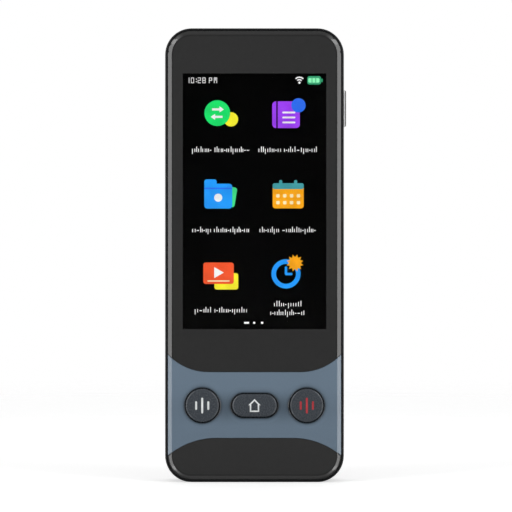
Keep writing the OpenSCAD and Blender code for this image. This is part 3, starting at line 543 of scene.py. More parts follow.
def clear(name, tint=(1, 1, 1), roughness=0.0, through=1.0, ior=1.45):
    """Clear or milky plastic or glass with faint smudges."""
    material, tree, shader, place = new_material(name, Transmission_Weight=through, IOR=ior)
    smudge = finger_smudges(tree, Vector=place)["Mask"]
    tone = moulded_grain(tree, Vector=place, Scale=500.0)["Tone"]
    gloss = plus(tree, times(tree, smudge, 0.03), roughness)
    lead(tree, shader, Base_Color=blend(tree, tone, shade(tint, 0.99), tint), Roughness=gloss)
    return material


def lit(name, base, strength=1.0):
    """A lit part of the screen's picture: it glows cell by cell, with a slow change of tone."""
    key = f"screen_{name}" if strength == 1 else f"screen_bright_{name}"
    if key in bpy.data.materials:
        return bpy.data.materials[key]
    material, tree, shader, place = new_material(
        key, Base_Color=(0, 0, 0, 1), Roughness=0.5, Emission_Strength=strength
    )
    cells = screen_dots(tree, Vector=place)["Mask"]
    cloudy = stretch(tree, noise(tree, place, 240.0, detail=1.0), 0.3, 0.7)
    tone = blend(tree, cloudy, shade(base, 0.9), shade(base, 1.06))
    tone = blend(tree, times(tree, cells, 0.1), tone, shade(base, 0.4))
    lead(tree, shader, Emission_Color=tone)
    return material


def unlit(name, base):
    """The black of the screen, with its cells just showing when light grazes it."""
    material, tree, shader, place = new_material(name, Specular_IOR_Level=0.2)
    cells = screen_dots(tree, Vector=place)["Mask"]
    tone = blend(tree, cells, [c + 0.0003 for c in base[:3]], [c + 0.0008 for c in base[:3]])
    gloss = stretch(tree, cells, 0.0, 1.0, 0.3, 0.45)
    lead(tree, shader, Base_Color=tone, Roughness=gloss)
    return material


def foil(name, base):
    """Laminated foil of a pouch cell, lightly creased."""
    material, tree, shader, place = new_material(name, Metallic=0.7)
    crease = noise(tree, place, 130.0, detail=5.0, distortion=0.8)
    tone = moulded_grain(tree, Vector=place, Scale=1500.0)["Tone"]
    tinted = blend(tree, tone, shade(base, 0.85), shade(base, 1.15))
    gloss = stretch(tree, crease, 0.3, 0.7, 0.5, 0.32)
    lead(tree, shader, Base_Color=tinted, Roughness=gloss, Normal=bump(tree, crease, 0.08))
    return material


# ---------- shapes ----------


def as_mesh(shape, name):
    """Mesh of a finished shape."""
    mesh = bpy.data.meshes.new(name)
    shape.to_mesh(mesh)
    shape.free()
    return mesh


def thicken(shape, height):
    """Makes a flat shape a solid."""
    raised = bmesh.ops.extrude_face_region(shape, geom=list(shape.faces))["geom"]
    top = [v for v in raised if isinstance(v, bmesh.types.BMVert)]
    bmesh.ops.translate(shape, vec=(0, 0, height), verts=top)
    bmesh.ops.recalc_face_normals(shape, faces=shape.faces)
    return shape


def plate(width, height, low, high, corner=0.0, segments=5):
    """Flat plate between two levels, centred, with rounded corners."""
    shape = bmesh.new()
    verts = bmesh.ops.create_cube(shape, size=1.0)["verts"]
    bmesh.ops.scale(shape, vec=(width, height, high - low), verts=verts)
    bmesh.ops.translate(shape, vec=(0, 0, (low + high) / 2), verts=verts)
    if corner:
        upright = [e for e in shape.edges if abs(e.verts[0].co.z - e.verts[1].co.z) > (high - low) / 2]
        largest = 0.499 * min(width, height)
        bmesh.ops.bevel(
            shape, geom=upright, offset=min(corner, largest), offset_type="OFFSET", affect="EDGES",
            segments=segments, profile=0.5, material=-1, clamp_overlap=True,
        )
    return shape


def disc(radius, low, high, segments=48):
    """Round plate between two levels."""
    shape = bmesh.new()
    verts = bmesh.ops.create_cone(
        shape, cap_ends=True, segments=segments, radius1=radius, radius2=radius, depth=high - low
    )["verts"]
    bmesh.ops.translate(shape, vec=(0, 0, (low + high) / 2), verts=verts)
    return shape


def turned(profile, segments=64, angle=2 * pi, closed=True):
    """Spins a profile of (radius, level) points about z and fills what stays open."""
    shape = bmesh.new()
    verts = [shape.verts.new((radius, 0, level)) for radius, level in profile]
    edges = [shape.edges.new((verts[i - 1], verts[i])) for i in range(0 if closed else 1, len(verts))]
    bmesh.ops.spin(
        shape, geom=verts + edges, cent=(0, 0, 0), axis=(0, 0, 1), dvec=(0, 0, 0), angle=angle,
        steps=segments, use_merge=angle == 2 * pi, use_duplicate=False,
    )
    bmesh.ops.remove_doubles(shape, verts=shape.verts, dist=MERGE_DRAWN)
    open_edges = [e for e in shape.edges if e.is_boundary]
    if open_edges:
        bmesh.ops.holes_fill(shape, edges=open_edges, sides=0)
    return shape


def hoop(radius, line, low, high, angle=2 * pi, segments=64):
    """Ring, or an arc of one, of a given line width."""
    inner, outer = radius - line / 2, radius + line / 2
    return turned([(inner, low), (outer, low), (outer, high), (inner, high)], segments, angle)


def prism(points, low, high):
    """Straight-sided solid on a flat outline."""
    shape = bmesh.new()
    shape.faces.new([shape.verts.new((x, y, low)) for x, y in points])
    return thicken(shape, high - low)


def placed(shape, x, y, z=0.0, turn=0.0):
    """Moves a drawn shape to its place, turned about z."""
    shape.transform(Matrix.Translation((x, y, z)) @ Matrix.Rotation(turn, 4, "Z"))
    return shape


def stamp(target, shape, x, y, z=0.0, turn=0.0, paint=0):
    """Adds a shape to another at a place, with a material number."""
    for face in placed(shape, x, y, z, turn).faces:
        face.material_index = paint
    holder = as_mesh(shape, "stamp")
    target.from_mesh(holder)
    bpy.data.meshes.remove(holder)


def keep(shape, name, materials, body="root", nodes=(), smooth=True):
    """Stands a finished mesh up as a piece that rides on a body."""
    shape.transform(STAND_UP)
    bmesh.ops.recalc_face_normals(shape, faces=shape.faces)
    for face in shape.faces:
        face.smooth = smooth
    return place_piece(name, as_mesh(shape, name), materials, body, nodes)


def place_piece(name, mesh, materials, body, nodes):
    """Makes a mesh a piece that rides on a body."""
    piece = bpy.data.objects.new(name, mesh)
    bpy.context.scene.collection.objects.link(piece)
    for material in materials:
        mesh.materials.append(material)
    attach(piece, body)
    if nodes:
        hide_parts(*nodes)
    return piece


def soften(piece, width=None, segments=2):
    """Rounds the edges of a piece a little and keeps its flat faces flat."""
    bevel = piece.modifiers.new("soft_edges", "BEVEL")
    bevel.width = settings("finish").softness if width is None else width * MM
    bevel.segments = segments
    bevel.profile = 0.5
    bevel.limit_method = "ANGLE"
    bevel.angle_limit = radians(22)
    bevel.use_clamp_overlap = False
    even_out(piece)


def even_out(piece):
    """Keeps the shading of large flat faces flat."""
    normals = piece.modifiers.new("even_normals", "WEIGHTED_NORMAL")
    normals.mode = "FACE_AREA"
    normals.weight = 50
    normals.keep_sharp = True


def merged_copy(node):
    """The mesh of a CAD node with its loose triangles joined and its flat faces made whole."""
    shape = bmesh.new()
    shape.from_mesh(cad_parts[node].data)
    bmesh.ops.remove_doubles(shape, verts=shape.verts, dist=MERGE)
    bmesh.ops.dissolve_limit(
        shape, angle_limit=FLAT, use_dissolve_boundaries=False, verts=shape.verts, edges=shape.edges
    )
    return shape


def soft_copy(node, name, material, body="root", width=None, segments=2):
    """A piece that stands for a CAD node: the same shape with softened edges."""
    shape = merged_copy(node)
    for face in shape.faces:
        face.smooth = True
        face.material_index = 0
    piece = place_piece(name, as_mesh(shape, name), [material], body, (node,))
    soften(piece, width, segments)
    return piece


def carve(piece, cutter):
    """Cuts a closed shape out of a piece's mesh for good."""
    tool = bpy.data.objects.new("cutter", cutter)
    bpy.context.scene.collection.objects.link(tool)
    cut = piece.modifiers.new("cut", "BOOLEAN")
    cut.operation = "DIFFERENCE"
    cut.solver = "EXACT"
    cut.object = tool
    graph = bpy.context.evaluated_depsgraph_get()
    carved = bpy.data.meshes.new_from_object(piece.evaluated_get(graph))
    piece.modifiers.clear()
    bpy.data.objects.remove(tool)
    carved.name = piece.name
    piece.data = carved


def dress(node, material):
    """Gives a CAD node that stays as it is its material."""
    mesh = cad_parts[node].data
    mesh.materials.clear()
    mesh.materials.append(material)


def slice_up(shape, step, reach):
    """Cuts a shape across at even steps, so that it can follow a crown."""
    count = int(reach / step)
    for axis in (Vector((1, 0, 0)), Vector((0, 1, 0))):
        for i in range(-count, count + 1):
            parts = [*shape.verts, *shape.edges, *shape.faces]
            bmesh.ops.bisect_plane(
                shape, geom=parts, dist=MERGE_DRAWN, plane_co=axis * i * step, plane_no=axis
            )


def drape(shape, crown, level, spine):
    """Lays a flat shape on the crown of a key. A long key is crowned about the line between its ends."""
    for vert in shape.verts:
        aside = max(0.0, abs(vert.co.x) - spine)
        vert.co.z += level + sqrt(crown**2 - aside**2 - vert.co.y**2) - crown


# ---------- operators ----------


class PieceOperator:
    """What every operator here shares"""

    bl_options = {"REGISTER", "UNDO"}


def front_edge():
    """The front's outline for the painted shade line at its bevel: middle height, half sizes, corner and
    inset.
    """
    low, high = flat_box("front_housing")
    half = (high - low) / 2
    corner = 7.6
    bevel_width = 1.3
    past_bevel = 0.15
    return [v * MM for v in ((low.y + high.y) / 2, half.x, half.y, corner, bevel_width + past_bevel)]


class TRANSLATOR_OT_mid_frame(PieceOperator, bpy.types.Operator):
    """Black frame that shows as the rim round the front"""

    bl_idname = "translator.mid_frame"
    bl_label = "Frame"

    def execute(self, context):
        finish = settings("finish")
        material = moulded("frame_black", finish.rim, roughness=0.42, grain=3200, relief=0.006, spread=0.1)
        soft_copy("mid_frame", "frame", material)
        return {"FINISHED"}


class TRANSLATOR_OT_front_band(PieceOperator, bpy.types.Operator):
    """Blue-grey moulding with the key holes"""

    bl_idname = "translator.front_band"
    bl_label = "Front moulding"

    def execute(self, context):
        finish = settings("finish")
        material = moulded(
            "band_blue", finish.band, roughness=0.2, grain=2600, relief=0.0015, spread=0.012,
            wear=0.1, dust=0.02, Specular_IOR_Level=0.6,
        )
        self.shading(material)
        soft_copy("front_housing", "front_moulding", material, segments=3)
        return {"FINISHED"}

    def shading(self, material):
        """Painted light and shade: the band is painted lighter towards the glass, and painted darker along
        the row of keys and round each of them.
        """
        tree, shader, place, even = finished(material)
        part = axes(tree, place)
        # Painted shade round each key hole: how far each of two shades fades out, and how dark it is
        rings = ((1.4, 0.22), (0.6, 0.42))
        painted_key_shades = []
        for name in FRONT_KEYS:
            radius, spine = key_outline(name)
            hole = {
                "Vector": moved(tree, place, -standing(centre(name))),
                "Spine": spine * MM,
                "Radius": (radius + KEY_GAP) * MM,
            }
            wide, slim = (
                times(tree, round_the_hole(tree, Fade=fade * MM, **hole)["Mask"], depth)
                for fade, depth in rings
            )
            painted_key_shades.append(plus(tree, wide, slim))
        near = calc(tree, "MAXIMUM", *painted_key_shades)
        # Painted shadow along the row of keys, full beside them and faint towards the band's ends
        row_shade_depth, half_height, below_keys = 0.45, 6.4, 0.65
        row = (centre("home_key").y - below_keys) * MM
        off = unsigned(tree, minus(tree, part["Z"], row))
        aside = unsigned(tree, part["X"])
        full_to, faint_from, faint = 14, 26, 0.15
        painted_row_shade = times(
            tree, stretch(tree, off, 0.0, half_height * MM, row_shade_depth, 0.0),
            stretch(tree, aside, full_to * MM, faint_from * MM, 1.0, faint),
        )
        # Painted light: the band is painted lighter towards the glass
        light_from, light_to, lighter, even_level = 16, 36, 0.05, 1.04
        rise = stretch(tree, part["Z"], light_from * MM, light_to * MM, 0.0, lighter)
        level = minus(tree, plus(tree, rise, even_level), near, painted_row_shade)
        tone = put(tree, "ShaderNodeVectorMath", {0: even, "Scale": level}, operation="SCALE").outputs[0]
        lead(tree, shader, Base_Color=tone)


def screen_window():
    """Lowest and highest corner of the lit window."""
    layout = settings("screen")
    low, high = flat_box("lcd_panel")
    side, top, foot = layout.side / MM, layout.top / MM, layout.foot / MM
    return Vector((low.x + side, low.y + foot)), Vector((high.x - side, high.y - top))


class TRANSLATOR_OT_cover_glass(PieceOperator, bpy.types.Operator):
    """Cover glass: a dark printed border round a clear window"""

    bl_idname = "translator.cover_glass"
    bl_label = "Cover glass"

    def execute(self, context):
        finish = settings("finish")
        low, high = screen_window()
        glass_low, glass_high = flat_box("touch_glass")
        middle = (low + high) / 2
        size = high - low
        past = 1.0
        seam = 0.01
        printed = polished("glass_print", finish.glass, front_edge())
        border = soft_copy("touch_glass", "glass_border", printed, width=GLASS_RIM)
        hole = placed(plate(size.x, size.y, glass_low.z - past, glass_high.z + past), *middle)
        hole.transform(STAND_UP)
        carve(border, as_mesh(hole, "cutter"))
        border.data.set_sharp_from_angle(angle=radians(50))
        even_out(border)
        pane = placed(plate(size.x - 2 * seam, size.y - 2 * seam, glass_low.z, glass_high.z), *middle)
        # Glass bonded to a screen mirrors at one face only, so each face of the pane mirrors half as much
        bonded = 1.27
        keep(pane, "window_glass", [clear("glass_clear", ior=bonded)], smooth=False)
        return {"FINISHED"}


class TRANSLATOR_OT_chin(PieceOperator, bpy.types.Operator):
    """Dark cover at the foot of the front"""

    bl_idname = "translator.chin"
    bl_label = "Chin"

    def execute(self, context):
        finish = settings("finish")
        material = polished("chin_dark", finish.chin, front_edge(), roughness=0.1)
        soft_copy("chin_cover", "chin", material, width=GLASS_RIM)
        return {"FINISHED"}


class Picture:
    """Flat coloured shapes in thin layers on the screen, each colour a material of one piece."""

    thickness = 0.03

    def __init__(self, name, glow=1.0):
        self.name = name
        self.glow = glow
        self.mesh = bmesh.new()
        self.paints = []
        self.ground = flat_box("touch_sensor")[1].z - PICTURE_ROOM

    def levels(self, layer):
        low = self.ground + layer * self.thickness
        return low, low + self.thickness

    def add(self, shape, paint, x, y, turn=0.0):
        if paint not in self.paints:
            self.paints.append(paint)
        stamp(self.mesh, shape, x, y, turn=turn, paint=self.paints.index(paint))

    def plate(self, paint, x, y, width, height, corner=0.0, layer=0, turn=0.0, segments=5):
        self.add(plate(width, height, *self.levels(layer), corner, segments), paint, x, y, turn)

    def disc(self, paint, x, y, radius, layer=0, segments=48):
        self.add(disc(radius, *self.levels(layer), segments), paint, x, y)

    def hoop(self, paint, x, y, radius, line, layer=0, angle=2 * pi, turn=0.0, segments=48):
        self.add(hoop(radius, line, *self.levels(layer), angle, segments), paint, x, y, turn)

    def prism(self, paint, x, y, points, layer=0, turn=0.0):
        self.add(prism(points, *self.levels(layer)), paint, x, y, turn)

    def finish(self):
        layout = settings("screen")
        materials = [lit(paint, getattr(layout, paint), self.glow) for paint in self.paints]
        return keep(self.mesh, self.name, materials, smooth=False)


class TRANSLATOR_OT_screen(PieceOperator, bpy.types.Operator):
    """Black screen behind the glass"""

    bl_idname = "translator.screen"
    bl_label = "Screen"

    def execute(self, context):
        layout = settings("screen")
        low, high = flat_box("touch_sensor")
        middle = (low + high) / 2
        film = plate(high.x - low.x, high.y - low.y, low.z, high.z - PICTURE_ROOM, corner=0.4)
        placed(film, middle.x, middle.y)
        black = unlit("screen_black", layout.black)
        keep(film, "screen_face", [black], nodes=("touch_sensor",), smooth=False)
        dress("lcd_panel", unlit("panel_black", layout.black))
        return {"FINISHED"}


# The drawings below are in millimetres about the middle of each icon's place
ARROW = [(-1.9, -0.35), (0.5, -0.35), (0.5, -1.0), (1.9, 0.0), (0.5, 1.0), (0.5, 0.35), (-1.9, 0.35)]


def draw_exchange(picture, x, y):
    """Two arrows, to and fro, on a green disc with a yellow one behind it."""
    picture.disc("yellow", x + 3.3, y - 1.9, 2.3)
    picture.disc("green", x - 1.1, y + 0.1, 4.15, layer=1)
    picture.prism("text", x - 0.9, y + 1.3, ARROW, layer=2)
    picture.prism("text", x - 1.3, y - 1.1, ARROW, layer=2, turn=pi)


def draw_book(picture, x, y):
    """Purple book with its spine and lines, and a blue disc as a mark."""
    picture.plate("purple", x - 0.5, y - 0.4, 8.9, 8.6, corner=1.2)
    picture.plate("black", x - 3.4, y - 0.4, 0.45, 8.6, layer=1)
    for i in range(3):
        picture.plate("text", x + 0.4, y + 0.3 - i * 1.6, 4.2, 0.55, corner=0.25, layer=1, segments=3)
    picture.disc("blue", x + 3.5, y + 2.6, 2.3, layer=2)


def draw_folder(picture, x, y):
    """Blue folder in front of a green sheet."""
    picture.plate("leaf", x + 2.3, y - 0.9, 5.2, 6.4, corner=0.8, turn=radians(-9))
    picture.plate("sky", x - 3.3, y + 3.3, 4.0, 2.6, corner=0.8, layer=1)
    picture.plate("sky", x - 0.8, y - 0.8, 9.0, 8.0, corner=1.0, layer=1)
    picture.plate("blue", x - 0.8, y + 1.7, 9.0, 0.5, layer=2)
    picture.disc("text", x - 0.8, y - 1.3, 1.3, layer=2)


def draw_calendar(picture, x, y):
    """Orange calendar leaf with a teal head, two rings and rows of days."""
    picture.plate("orange", x + 0.2, y - 0.7, 10.0, 8.1, corner=0.9, layer=1)
    picture.plate("teal", x + 0.2, y + 2.4, 10.0, 1.9, corner=0.6, layer=2)
    for side in (-1, 1):
        picture.plate("teal", x + 0.2 + side * 2.4, y + 3.4, 1.0, 2.0, corner=0.45, layer=2, segments=3)
    day, pitch = 1.1, 2.2
    for i in range(8):
        row, column = divmod(i, 4)
        at = (x - 3.1 + column * pitch, y - 0.7 - row * pitch)
        picture.plate("pale", *at, day, day, corner=0.25, layer=2, segments=2)


def draw_player(picture, x, y):
    """Red card with a play mark, in front of a yellow card."""
    picture.plate("yellow", x + 1.8, y - 2.4, 7.7, 5.3, corner=0.8)
    picture.plate("red", x - 0.7, y + 0.2, 9.8, 6.9, corner=0.8, layer=1)
    picture.prism("text", x - 0.9, y + 0.4, [(-1.2, -1.8), (1.9, 0.0), (-1.2, 1.8)], layer=2)
    picture.plate("pale", x - 0.7, y - 2.3, 7.2, 0.4, corner=0.2, layer=2, segments=2)


def draw_clock(picture, x, y):
    """Blue ring with two hands, and an orange sun beside it."""
    rays = 12
    outline = []
    for i in range(2 * rays):
        reach = 2.8 if i % 2 else 1.9
        outline.append((reach * cos(pi * i / rays), reach * sin(pi * i / rays)))
    picture.hoop("sky", x - 0.5, y, 3.95, 1.5)
    picture.plate("sky", x - 0.5, y + 1.0, 0.8, 2.8, corner=0.35, layer=1, segments=3)
    picture.plate("sky", x + 0.4, y - 0.05, 2.4, 0.8, corner=0.35, layer=1, segments=3)
    picture.prism("orange", x + 2.4, y + 3.5, outline, layer=2)


def cell_of(number):
    """Middle of an icon's place, counted along the rows from the top."""
    layout = settings("screen")
    row, column = divmod(number, 2)
    aside = -0.12
    x = aside + (1 if column else -1) * layout.column / MM
    return x, screen_window()[1].y - (layout.first_row + row * layout.row) / MM


class TRANSLATOR_OT_screen_icons(PieceOperator, bpy.types.Operator):
    """Six icons in two columns"""

    bl_idname = "translator.screen_icons"
    bl_label = "Icons"

    def execute(self, context):
        drawings = [draw_exchange, draw_book, draw_folder, draw_calendar, draw_player, draw_clock]
        for number, draw in enumerate(drawings):
            picture = Picture("icon_" + draw.__name__.removeprefix("draw_"))
            draw(picture, *cell_of(number))
            picture.finish()
        return {"FINISHED"}


# Strokes of a caption's marks: how far aside each is, its lowest and highest point and its width, and the
# room that the mark takes
TICK = 0.2
STROKES = {
    "o": ([(-0.4, 0.0, 1.05, TICK), (0.4, 0.0, 1.05, TICK)], 1.12),
    "d": ([(-0.4, 0.0, 1.05, TICK), (0.4, 0.0, 1.75, TICK)], 1.2),
    "p": ([(-0.4, -0.65, 1.05, TICK), (0.4, 0.0, 1.05, TICK)], 1.2),
    "n": ([(-0.4, 0.0, 1.05, TICK), (0.25, 0.45, 0.65, 0.5)], 1.08),
    "u": ([(0.0, 0.45, 0.65, 0.8)], 1.08),
    "l": ([(0.0, 0.0, 1.75, TICK)], 0.5),
    "i": ([(0.0, 0.0, 1.05, TICK)], 0.5),
    "t": ([(0.0, 0.0, 1.4, TICK)], 0.66),
    " ": ([], 0.6),
}


def small_type(picture, x, y, marks, width):
    """A row of strokes, grouped as words are, which stands for a caption and says nothing."""
    spread = width / sum(STROKES[mark][1] for mark in marks)
    at = x - width / 2
    for mark in marks:
        strokes, room = STROKES[mark]
        middle = at + room * spread / 2
        for aside, low, high, wide in strokes:
            picture.plate("text", middle + aside, y + (low + high) / 2, wide, high - low)
        at += room * spread


class TRANSLATOR_OT_captions(PieceOperator, bpy.types.Operator):
    """Rows of strokes under the icons in place of words, and the page marks"""

    bl_idname = "translator.captions"
    bl_label = "Captions"

    def execute(self, context):
        layout = settings("screen")
        picture = Picture("captions", glow=1.3)
        lines = [
            [("pldoin tlonidpolnu", 18.8)],
            [("dlptino nildutpnol", 19.1)],
            [("oulnip dotindplnoi", 18.5)],
            [("dnolpi uoildtnplin", 18.4)],
            [("puild ntlonipdo", 17.2)],
            [("dlinpotl", 9.3), ("nolidplnuit", 11.3)],
        ]
        line_pitch = 2.8
        first_lift = 0.7
        for number, rows in enumerate(lines):
            x, y = cell_of(number)
            y += first_lift * line_pitch * (len(rows) - 1) - layout.caption_drop / MM
            for i, (marks, width) in enumerate(rows):
                small_type(picture, x, y - i * line_pitch, marks, width)
        lift = 2.0
        self.page_marks(picture, screen_window()[0].y + lift)
        picture.finish()
        return {"FINISHED"}

    def page_marks(self, picture, y):
        """A dash and two dots at the foot of the screen."""
        picture.plate("text", -2.55, y, 1.6, 0.6, corner=0.15, segments=2)
        for x in (-0.1, 2.45):
            picture.disc("text", x, y, 0.38, segments=16)


# Strokes of the numerals: a to f from the top clockwise, g across the middle, m down to it from the top
SEGMENTS = {"0": "abcdef", "1": "bc", "2": "abged", "8": "abcdefg", "P": "abgef", "M": "abcefm"}
FIGURE_ROOM = {":": 0.7, " ": 0.6, "P": 1.6}


def numeral(picture, figure, x, y, height=1.6, line=0.19):
    """One figure of the clock, drawn with straight strokes, of which the upright ones lie a layer higher."""
    half = height / 2
    width = height * 0.5
    strokes = {
        "a": (0, half, 0), "d": (0, -half, 0), "g": (0, 0, 0), "m": (0, half / 2, 1),
        "b": (width / 2, half / 2, 1), "c": (width / 2, -half / 2, 1),
        "e": (-width / 2, -half / 2, 1), "f": (-width / 2, half / 2, 1),
    }
    for name in SEGMENTS[figure]:
        dx, dy, upright = strokes[name]
        size = (line, half + line) if upright else (width + line, line)
        picture.plate("text", x + dx, y + dy, *size, corner=line / 3, segments=2, layer=upright)


class TRANSLATOR_OT_status_bar(PieceOperator, bpy.types.Operator):
    """Clock, signal and charge at the top of the screen"""

    bl_idname = "translator.status_bar"
    bl_label = "Status bar"

    def execute(self, context):
        low, high = screen_window()
        drop, clock_in, signal_x, charge_x = 2.15, 1.6, 14.45, 19.2
        y = high.y - drop
        picture = Picture("status_bar")
        self.clock(picture, low.x + clock_in, y)
        self.signal(picture, signal_x, y)
        self.charge(picture, charge_x, y)
        picture.finish()
        return {"FINISHED"}

    def clock(self, picture, x, y):
        """The time, as figures and two dots."""
        for figure in "10:28 PM":
            if figure == ":":
                for side in (-0.4, 0.4):
                    picture.disc("text", x - 0.25, y + side, 0.17, segments=12)
            elif figure != " ":
                numeral(picture, figure, x, y)
            x += FIGURE_ROOM.get(figure, 1.5)

    def signal(self, picture, x, y):
        """Two arcs over a dot."""
        foot = y - 0.75
        for radius in (0.95, 1.75):
            picture.hoop("text", x, foot, radius, 0.4, angle=pi / 2, turn=pi / 4, segments=12)
        picture.disc("text", x, foot, 0.38, segments=16)

    def charge(self, picture, x, y):
        """A cell in three parts, with its contact at the right."""
        picture.plate("cell", x, y, 4.4, 2.7, corner=0.7)
        picture.plate("cell", x + 2.5, y, 0.5, 1.1, corner=0.2, segments=2)
        picture.plate("charge", x - 0.1, y, 3.6, 1.5, corner=0.4, layer=1)
        for i in range(2):
            picture.plate("cell", x - 0.7 + i * 1.2, y, 0.22, 1.5, layer=2)


def cap(name, material):
    """A front key with a rounded shoulder: one turned shape, whose two halves stand apart by the spine."""
    crown = settings("legends").crown / MM
    low, high = flat_box(name)
    middle = (low + high) / 2
    radius, spine = key_outline(name)
    flange, flange_thickness, bore = radius + KEY_FLANGE, 0.6, 0.3
    hub, hub_height = 1.2, 0.25
    flange_foot = low.z + hub_height
    flange_top = flange_foot + flange_thickness
    shoulder = 0.55
    crown_rings, shoulder_rings, steps = 12, 8, 128
    lean = (radius - shoulder) / (crown - shoulder)
    crown_end = radius - shoulder * (1 - lean)
    profile = []
    for i in range(1, crown_rings + 1):
        out = crown_end * i / crown_rings
        profile.append((out, high.z + sqrt(crown**2 - out**2) - crown))
    pivot = Vector((radius - shoulder, profile[-1][1] - shoulder * sqrt(1 - lean**2)))
    for i in range(1, shoulder_rings + 1):
        turn = pi / 2 - (pi / 2 - lean) * (1 - i / shoulder_rings)
        profile.append((pivot.x + shoulder * sin(turn), pivot.y + shoulder * cos(turn)))
    profile += [(radius, flange_top), (flange, flange_top), (flange, flange_foot), (bore, flange_foot)]
    shape = turned(profile, steps, closed=False)
    bmesh.ops.rotate(shape, verts=shape.verts, matrix=Matrix.Rotation(pi / steps, 3, "Z"))
    for vert in shape.verts:
        vert.co.x += spine if vert.co.x > 0 else -spine
    whole = bmesh.new()
    stamp(whole, shape, middle.x, middle.y)
    stamp(whole, disc(hub, low.z, flange_foot, segments=32), middle.x, middle.y)
    piece = keep(whole, name.replace("_key", "_cap"), [material], body=name, nodes=(name,))
    even_out(piece)


class TRANSLATOR_OT_front_keys(PieceOperator, bpy.types.Operator):
    """Two round talk keys and the home key"""

    bl_idname = "translator.front_keys"
    bl_label = "Front keys"

    def execute(self, context):
        finish = settings("finish")
        material = moulded(
            "key_grey", finish.keys, roughness=0.26, grain=3000, relief=0.002, spread=0.03,
            wear=0.1, dust=0.02, Specular_IOR_Level=0.65,
        )
        for name in FRONT_KEYS:
            cap(name, material)
        return {"FINISHED"}


def ink(name, base, middle):
    """Printed legend: even in tone, thinner in places, and a little brighter in the middle."""
    material, tree, shader, place = new_material(name, Specular_IOR_Level=0.35)
    tone = moulded_grain(tree, Vector=place, Scale=4000.0)["Tone"]
    away = put(tree, "ShaderNodeVectorMath", {0: place, 1: middle}, operation="DISTANCE").outputs["Value"]
    near = stretch(tree, away, 0.0, 2.6 * MM, 1.0, 0.0)
    tinted = blend(tree, near, shade(base, 0.86), shade(base, 1.1))
    tinted = blend(tree, times(tree, tone, 0.1), tinted, shade(base, 0.6))
    gloss = stretch(tree, tone, 0.0, 1.0, 0.45, 0.6)
    lead(tree, shader, Base_Color=tinted, Roughness=gloss)
    return material


class TRANSLATOR_OT_key_legends(PieceOperator, bpy.types.Operator):
    """Printed bars on the talk keys and a house on the home key"""

    bl_idname = "translator.key_legends"
    bl_label = "Key legends"
    sunk = 0.05

    def execute(self, context):
        legends = settings("legends")
        self.bars(legends, "left_talk_key", "talk_bars_white", legends.white)
        self.bars(legends, "right_talk_key", "talk_bars_red", legends.red)
        self.house(legends)
        return {"FINISHED"}

    def finish(self, shape, key, name, base):
        """Lays a legend on its key's crown, a little sunk into it, and stands it up."""
        middle = centre(key)
        top = flat_box(key)[1].z
        slice_up(shape, step=0.5, reach=3.0)
        drape(shape, settings("legends").crown / MM, top, key_outline(key)[1])
        placed(shape, middle.x, middle.y)
        at = Vector((middle.x, -top, middle.y)) * MM
        keep(shape, name, [ink(name + "_ink", base, at)], body=key, smooth=False)

    def bars(self, legends, key, name, base):
        """A long bar between two short ones."""
        shape = bmesh.new()
        wide = legends.bar_width / MM
        for i in (-1, 0, 1):
            tall = (legends.bar_short if i else legends.bar_long) / MM
            bar = plate(wide, tall, -self.sunk, legends.ink / MM, corner=wide / 2)
            stamp(shape, bar, i * legends.bar_pitch / MM, 0)
        self.finish(shape, key, name, base)

    def house(self, legends):
        """Outline of a house: the eaves stand out past the walls."""
        line = legends.line / MM
        apex, eaves, wall, foot = 2.1, 2.0, 1.5, -2.05
        eaves_y = apex - eaves
        slant = line * sqrt(2)
        room = wall - line
        outer = [(0, apex), (eaves, eaves_y), (wall, eaves_y), (wall, foot)]
        inner = [(0, apex - slant), (room, apex - slant - room), (room, foot + line)]
        shape = bmesh.new()
        for half in (outer, inner):
            loop = half + [(-x, y) for x, y in reversed(half) if x]
            verts = [shape.verts.new((x, y, -self.sunk)) for x, y in loop]
            for i in range(len(verts)):
                shape.edges.new((verts[i - 1], verts[i]))
        bmesh.ops.triangle_fill(shape, use_beauty=True, edges=list(shape.edges), normal=(0, 0, 1))
        thicken(shape, self.sunk + legends.ink / MM)
        self.finish(shape, "home_key", "home_mark", legends.white)


def pale_root(material, base, reach):
    """Paints a reflection: what lies nearer the body than a distance along x is painted pale, a painted
    reflection of the white surroundings.
    """
    tree, shader, place, outer = finished(material)
    soft = 0.05
    past = stretch(tree, axes(tree, place)["X"], (reach - soft) * MM, (reach + soft) * MM)
    tone = moulded_grain(tree, Vector=place, Scale=2000.0)["Tone"]
    pale = blend(tree, tone, shade(base, 0.94), base)
    lead(tree, shader, Base_Color=blend(tree, past, pale, outer))


class TRANSLATOR_OT_side_key(PieceOperator, bpy.types.Operator):
    """Power key on the right-hand side"""

    bl_idname = "translator.side_key"
    bl_label = "Side key"

    def execute(self, context):
        finish = settings("finish")
        material = moulded(
            "side_key_dark", finish.side_key, roughness=0.5, grain=3000, relief=0.004, wear=0.05,
            Specular_IOR_Level=0.3,
        )
        # Painted reflection: the key is painted pale nearer the body than its dark face
        dark_face = 0.33
        pale_root(material, finish.side_root, flat_box("side_key")[1].x - dark_face)
        soft_copy(
            "side_key", "power_cap", material, body="side_key", width=0.1, segments=3
        )
        return {"FINISHED"}


class TRANSLATOR_OT_rear_cover(PieceOperator, bpy.types.Operator):
    """Rear cover in a fine matt texture"""

    bl_idname = "translator.rear_cover"
    bl_label = "Rear cover"

    def execute(self, context):
        finish = settings("finish")
        material = moulded(
            "rear_black", finish.rear, roughness=0.55, grain=2800, relief=0.03, spread=0.16, wear=0
        )
        soft_copy("rear_cover", "rear_shell", material)
        return {"FINISHED"}


